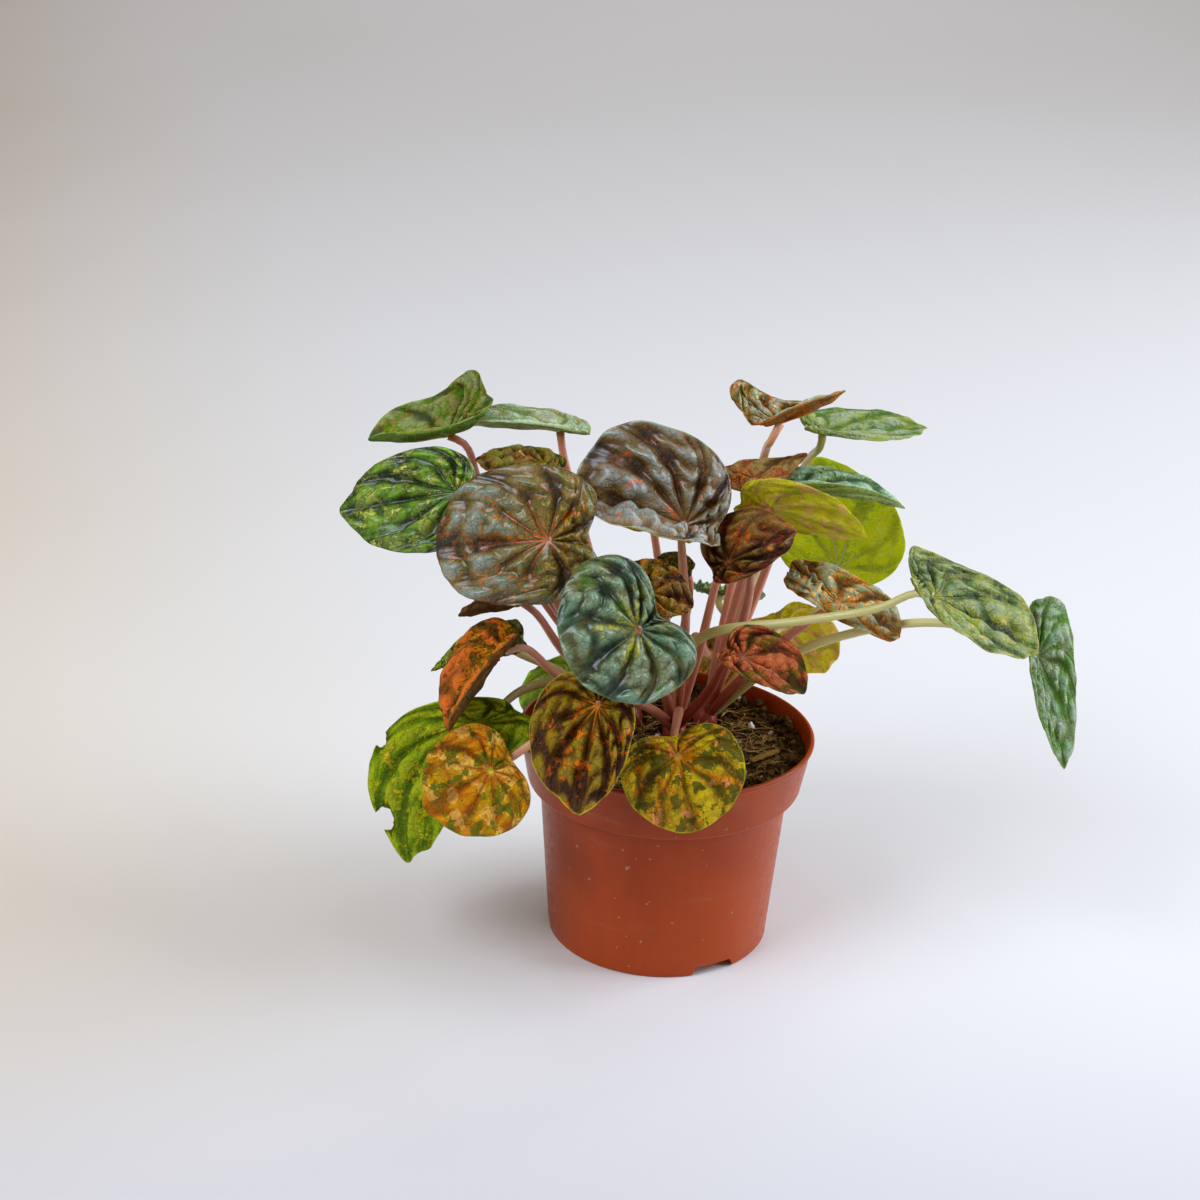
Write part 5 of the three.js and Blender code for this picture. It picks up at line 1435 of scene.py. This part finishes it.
def make_floor(settings):
    """A wide flat floor, pale, with painted warm shade on the left and painted shade towards the camera."""
    corners = [(-FLOOR_HALF, -FLOOR_HALF, 0), (FLOOR_HALF, -FLOOR_HALF, 0)]
    corners += [(FLOOR_HALF, FLOOR_HALF, 0), (-FLOOR_HALF, FLOOR_HALF, 0)]
    mesh = bpy.data.meshes.new("floor")
    mesh.from_pydata(corners, [], [(0, 1, 2, 3)])
    s = Shader("floor")
    cloud = s.noise(s.place(), 3, 2, 0.5)
    x, y, _ = s.parts(s.place())
    # Painted warm shade on the left and painted shade towards the camera.
    warm = s.smooth(x + y * 0.3 + cloud * 0.1, -0.5, 0.15, 0.9, 0)
    base = s.mix(settings.floor, settings.cream, warm)
    base = s.mix(base, settings.front, s.smooth(y, -0.32, 0.02, 0.9, 0))
    mesh.materials.append(s.finish(Base_Color=base, Roughness=s.smooth(cloud, 0, 1, 0.55, 0.65)))
    floor = bpy.data.objects.new("floor", mesh)
    bpy.context.scene.collection.objects.link(floor)


def make_lights(settings):
    """Light from all round and four round lamps: the main one on the right, a wide one above, one on the
    left in front and one over the far floor."""
    world = bpy.data.worlds.new("studio")
    world.use_nodes = True
    background = world.node_tree.nodes["Background"]
    background.inputs["Color"].default_value = opaque(settings.warm)
    background.inputs["Strength"].default_value = settings.sky
    bpy.context.scene.world = world
    for name, energy, size, place, aim in (
        ("key_light", settings.key, 1.8, (1.75, 0.15, 1.1), LAMP_AIM),
        ("top_light", settings.top, 1.6, (0.1, 0.6, 2.2), LAMP_AIM),
        ("window_light", settings.window, 1.1, (-0.95, -0.75, 1.3), LAMP_AIM),
        ("far_light", settings.far, 2.0, (*FAR_PLACE, 2.3), (*FAR_PLACE, 0)),
    ):
        lamp = bpy.data.lights.new(name, "AREA")
        lamp.shape = "DISK"
        lamp.energy, lamp.size, lamp.color = energy, size, settings.cool
        light = bpy.data.objects.new(name, lamp)
        light.location = place
        light.rotation_euler = (Vector(aim) - Vector(place)).to_track_quat("-Z", "Y").to_euler()
        bpy.context.scene.collection.objects.link(light)


def make_camera(settings):
    """The camera, at a distance from what it looks at, against the way ahead: down by the pitch and turned
    by the roll about it."""
    ahead = Vector((0, math.cos(settings.pitch), -math.sin(settings.pitch)))
    side, top = Vector((1, 0, 0)), Vector((0, math.sin(settings.pitch), math.cos(settings.pitch)))
    right = side * math.cos(settings.roll) + top * math.sin(settings.roll)
    up = top * math.cos(settings.roll) - side * math.sin(settings.roll)
    turned = Matrix((right, up, -ahead)).transposed().to_4x4()
    lens = bpy.data.cameras.new("camera")
    lens.lens, lens.sensor_width = settings.lens, 36
    lens.clip_start, lens.clip_end = 0.05, 30
    camera = bpy.data.objects.new("camera", lens)
    camera.matrix_world = Matrix.Translation(Vector(AIM) - ahead * settings.distance) @ turned
    bpy.context.scene.collection.objects.link(camera)
    bpy.context.scene.camera = camera
    bpy.context.scene.view_settings.view_transform = "Standard"


# ---------------------------------------------------------------- the add-on


class PEPEROMIA_OT_stage(bpy.types.Operator):
    """Makes the floor, the lights and the camera."""

    bl_idname = "peperomia.stage"
    bl_label = "Stage"

    def execute(self, context):
        settings = context.scene.stage_settings
        make_floor(settings)
        make_lights(settings)
        make_camera(settings)
        return {"FINISHED"}


class PEPEROMIA_OT_pot(bpy.types.Operator):
    """Makes the pot."""

    bl_idname = "peperomia.pot"
    bl_label = "Pot"

    def execute(self, context):
        make_pot(context.scene.pot_settings)
        return {"FINISHED"}


class PEPEROMIA_OT_mix(bpy.types.Operator):
    """Makes the potting mix."""

    bl_idname = "peperomia.mix"
    bl_label = "Potting mix"

    def execute(self, context):
        make_mix(context.scene.mix_settings)
        return {"FINISHED"}


class PEPEROMIA_OT_litter(bpy.types.Operator):
    """Makes the loose bits on the potting mix."""

    bl_idname = "peperomia.litter"
    bl_label = "Litter"

    def execute(self, context):
        make_litter(context.scene.mix_settings)
        return {"FINISHED"}


class PEPEROMIA_OT_stalks(bpy.types.Operator):
    """Makes the crowns and their petioles."""

    bl_idname = "peperomia.stalks"
    bl_label = "Stalks"

    def execute(self, context):
        for rosette in ROSETTES:
            make_rosette(rosette, context.scene.stalk_sizes)
        return {"FINISHED"}


class PEPEROMIA_OT_leaves(bpy.types.Operator):
    """Makes the blades of all the leaves."""

    bl_idname = "peperomia.leaves"
    bl_label = "Leaves"

    def execute(self, context):
        for number, plan in enumerate(LEAVES):
            make_blade(plan, context.scene.leaf_colours, context.scene.leaf_sizes, BLADE_SEED + number)
        return {"FINISHED"}


OPERATORS = (
    PEPEROMIA_OT_stage,
    PEPEROMIA_OT_pot,
    PEPEROMIA_OT_mix,
    PEPEROMIA_OT_litter,
    PEPEROMIA_OT_stalks,
    PEPEROMIA_OT_leaves,
)


class PEPEROMIA_PT_panel(bpy.types.Panel):
    """Lists the pieces and their settings."""

    bl_idname = "PEPEROMIA_PT_panel"
    bl_label = "Ripple Peperomia"
    bl_space_type = "VIEW_3D"
    bl_region_type = "UI"
    bl_category = "Peperomia"

    def draw(self, context):
        for operator in OPERATORS:
            self.layout.operator(operator.bl_idname)
        for name, group in GROUPS.items():
            box = self.layout.box()
            box.label(text=name.replace("_", " ").capitalize())
            for key in group.__annotations__:
                box.prop(getattr(context.scene, name), key)


def register():
    for part in (*GROUPS.values(), *OPERATORS, PEPEROMIA_PT_panel):
        bpy.utils.register_class(part)
    for name, group in GROUPS.items():
        setattr(bpy.types.Scene, name, PointerProperty(type=group))


def unregister():
    for name in GROUPS:
        delattr(bpy.types.Scene, name)
    for part in reversed((*GROUPS.values(), *OPERATORS, PEPEROMIA_PT_panel)):
        bpy.utils.unregister_class(part)


def main():
    register()
    for operator in (
        bpy.ops.peperomia.stage,
        bpy.ops.peperomia.pot,
        bpy.ops.peperomia.mix,
        bpy.ops.peperomia.litter,
        bpy.ops.peperomia.stalks,
        bpy.ops.peperomia.leaves,
    ):
        operator()
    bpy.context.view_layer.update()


if __name__ == "__main__":
    main()
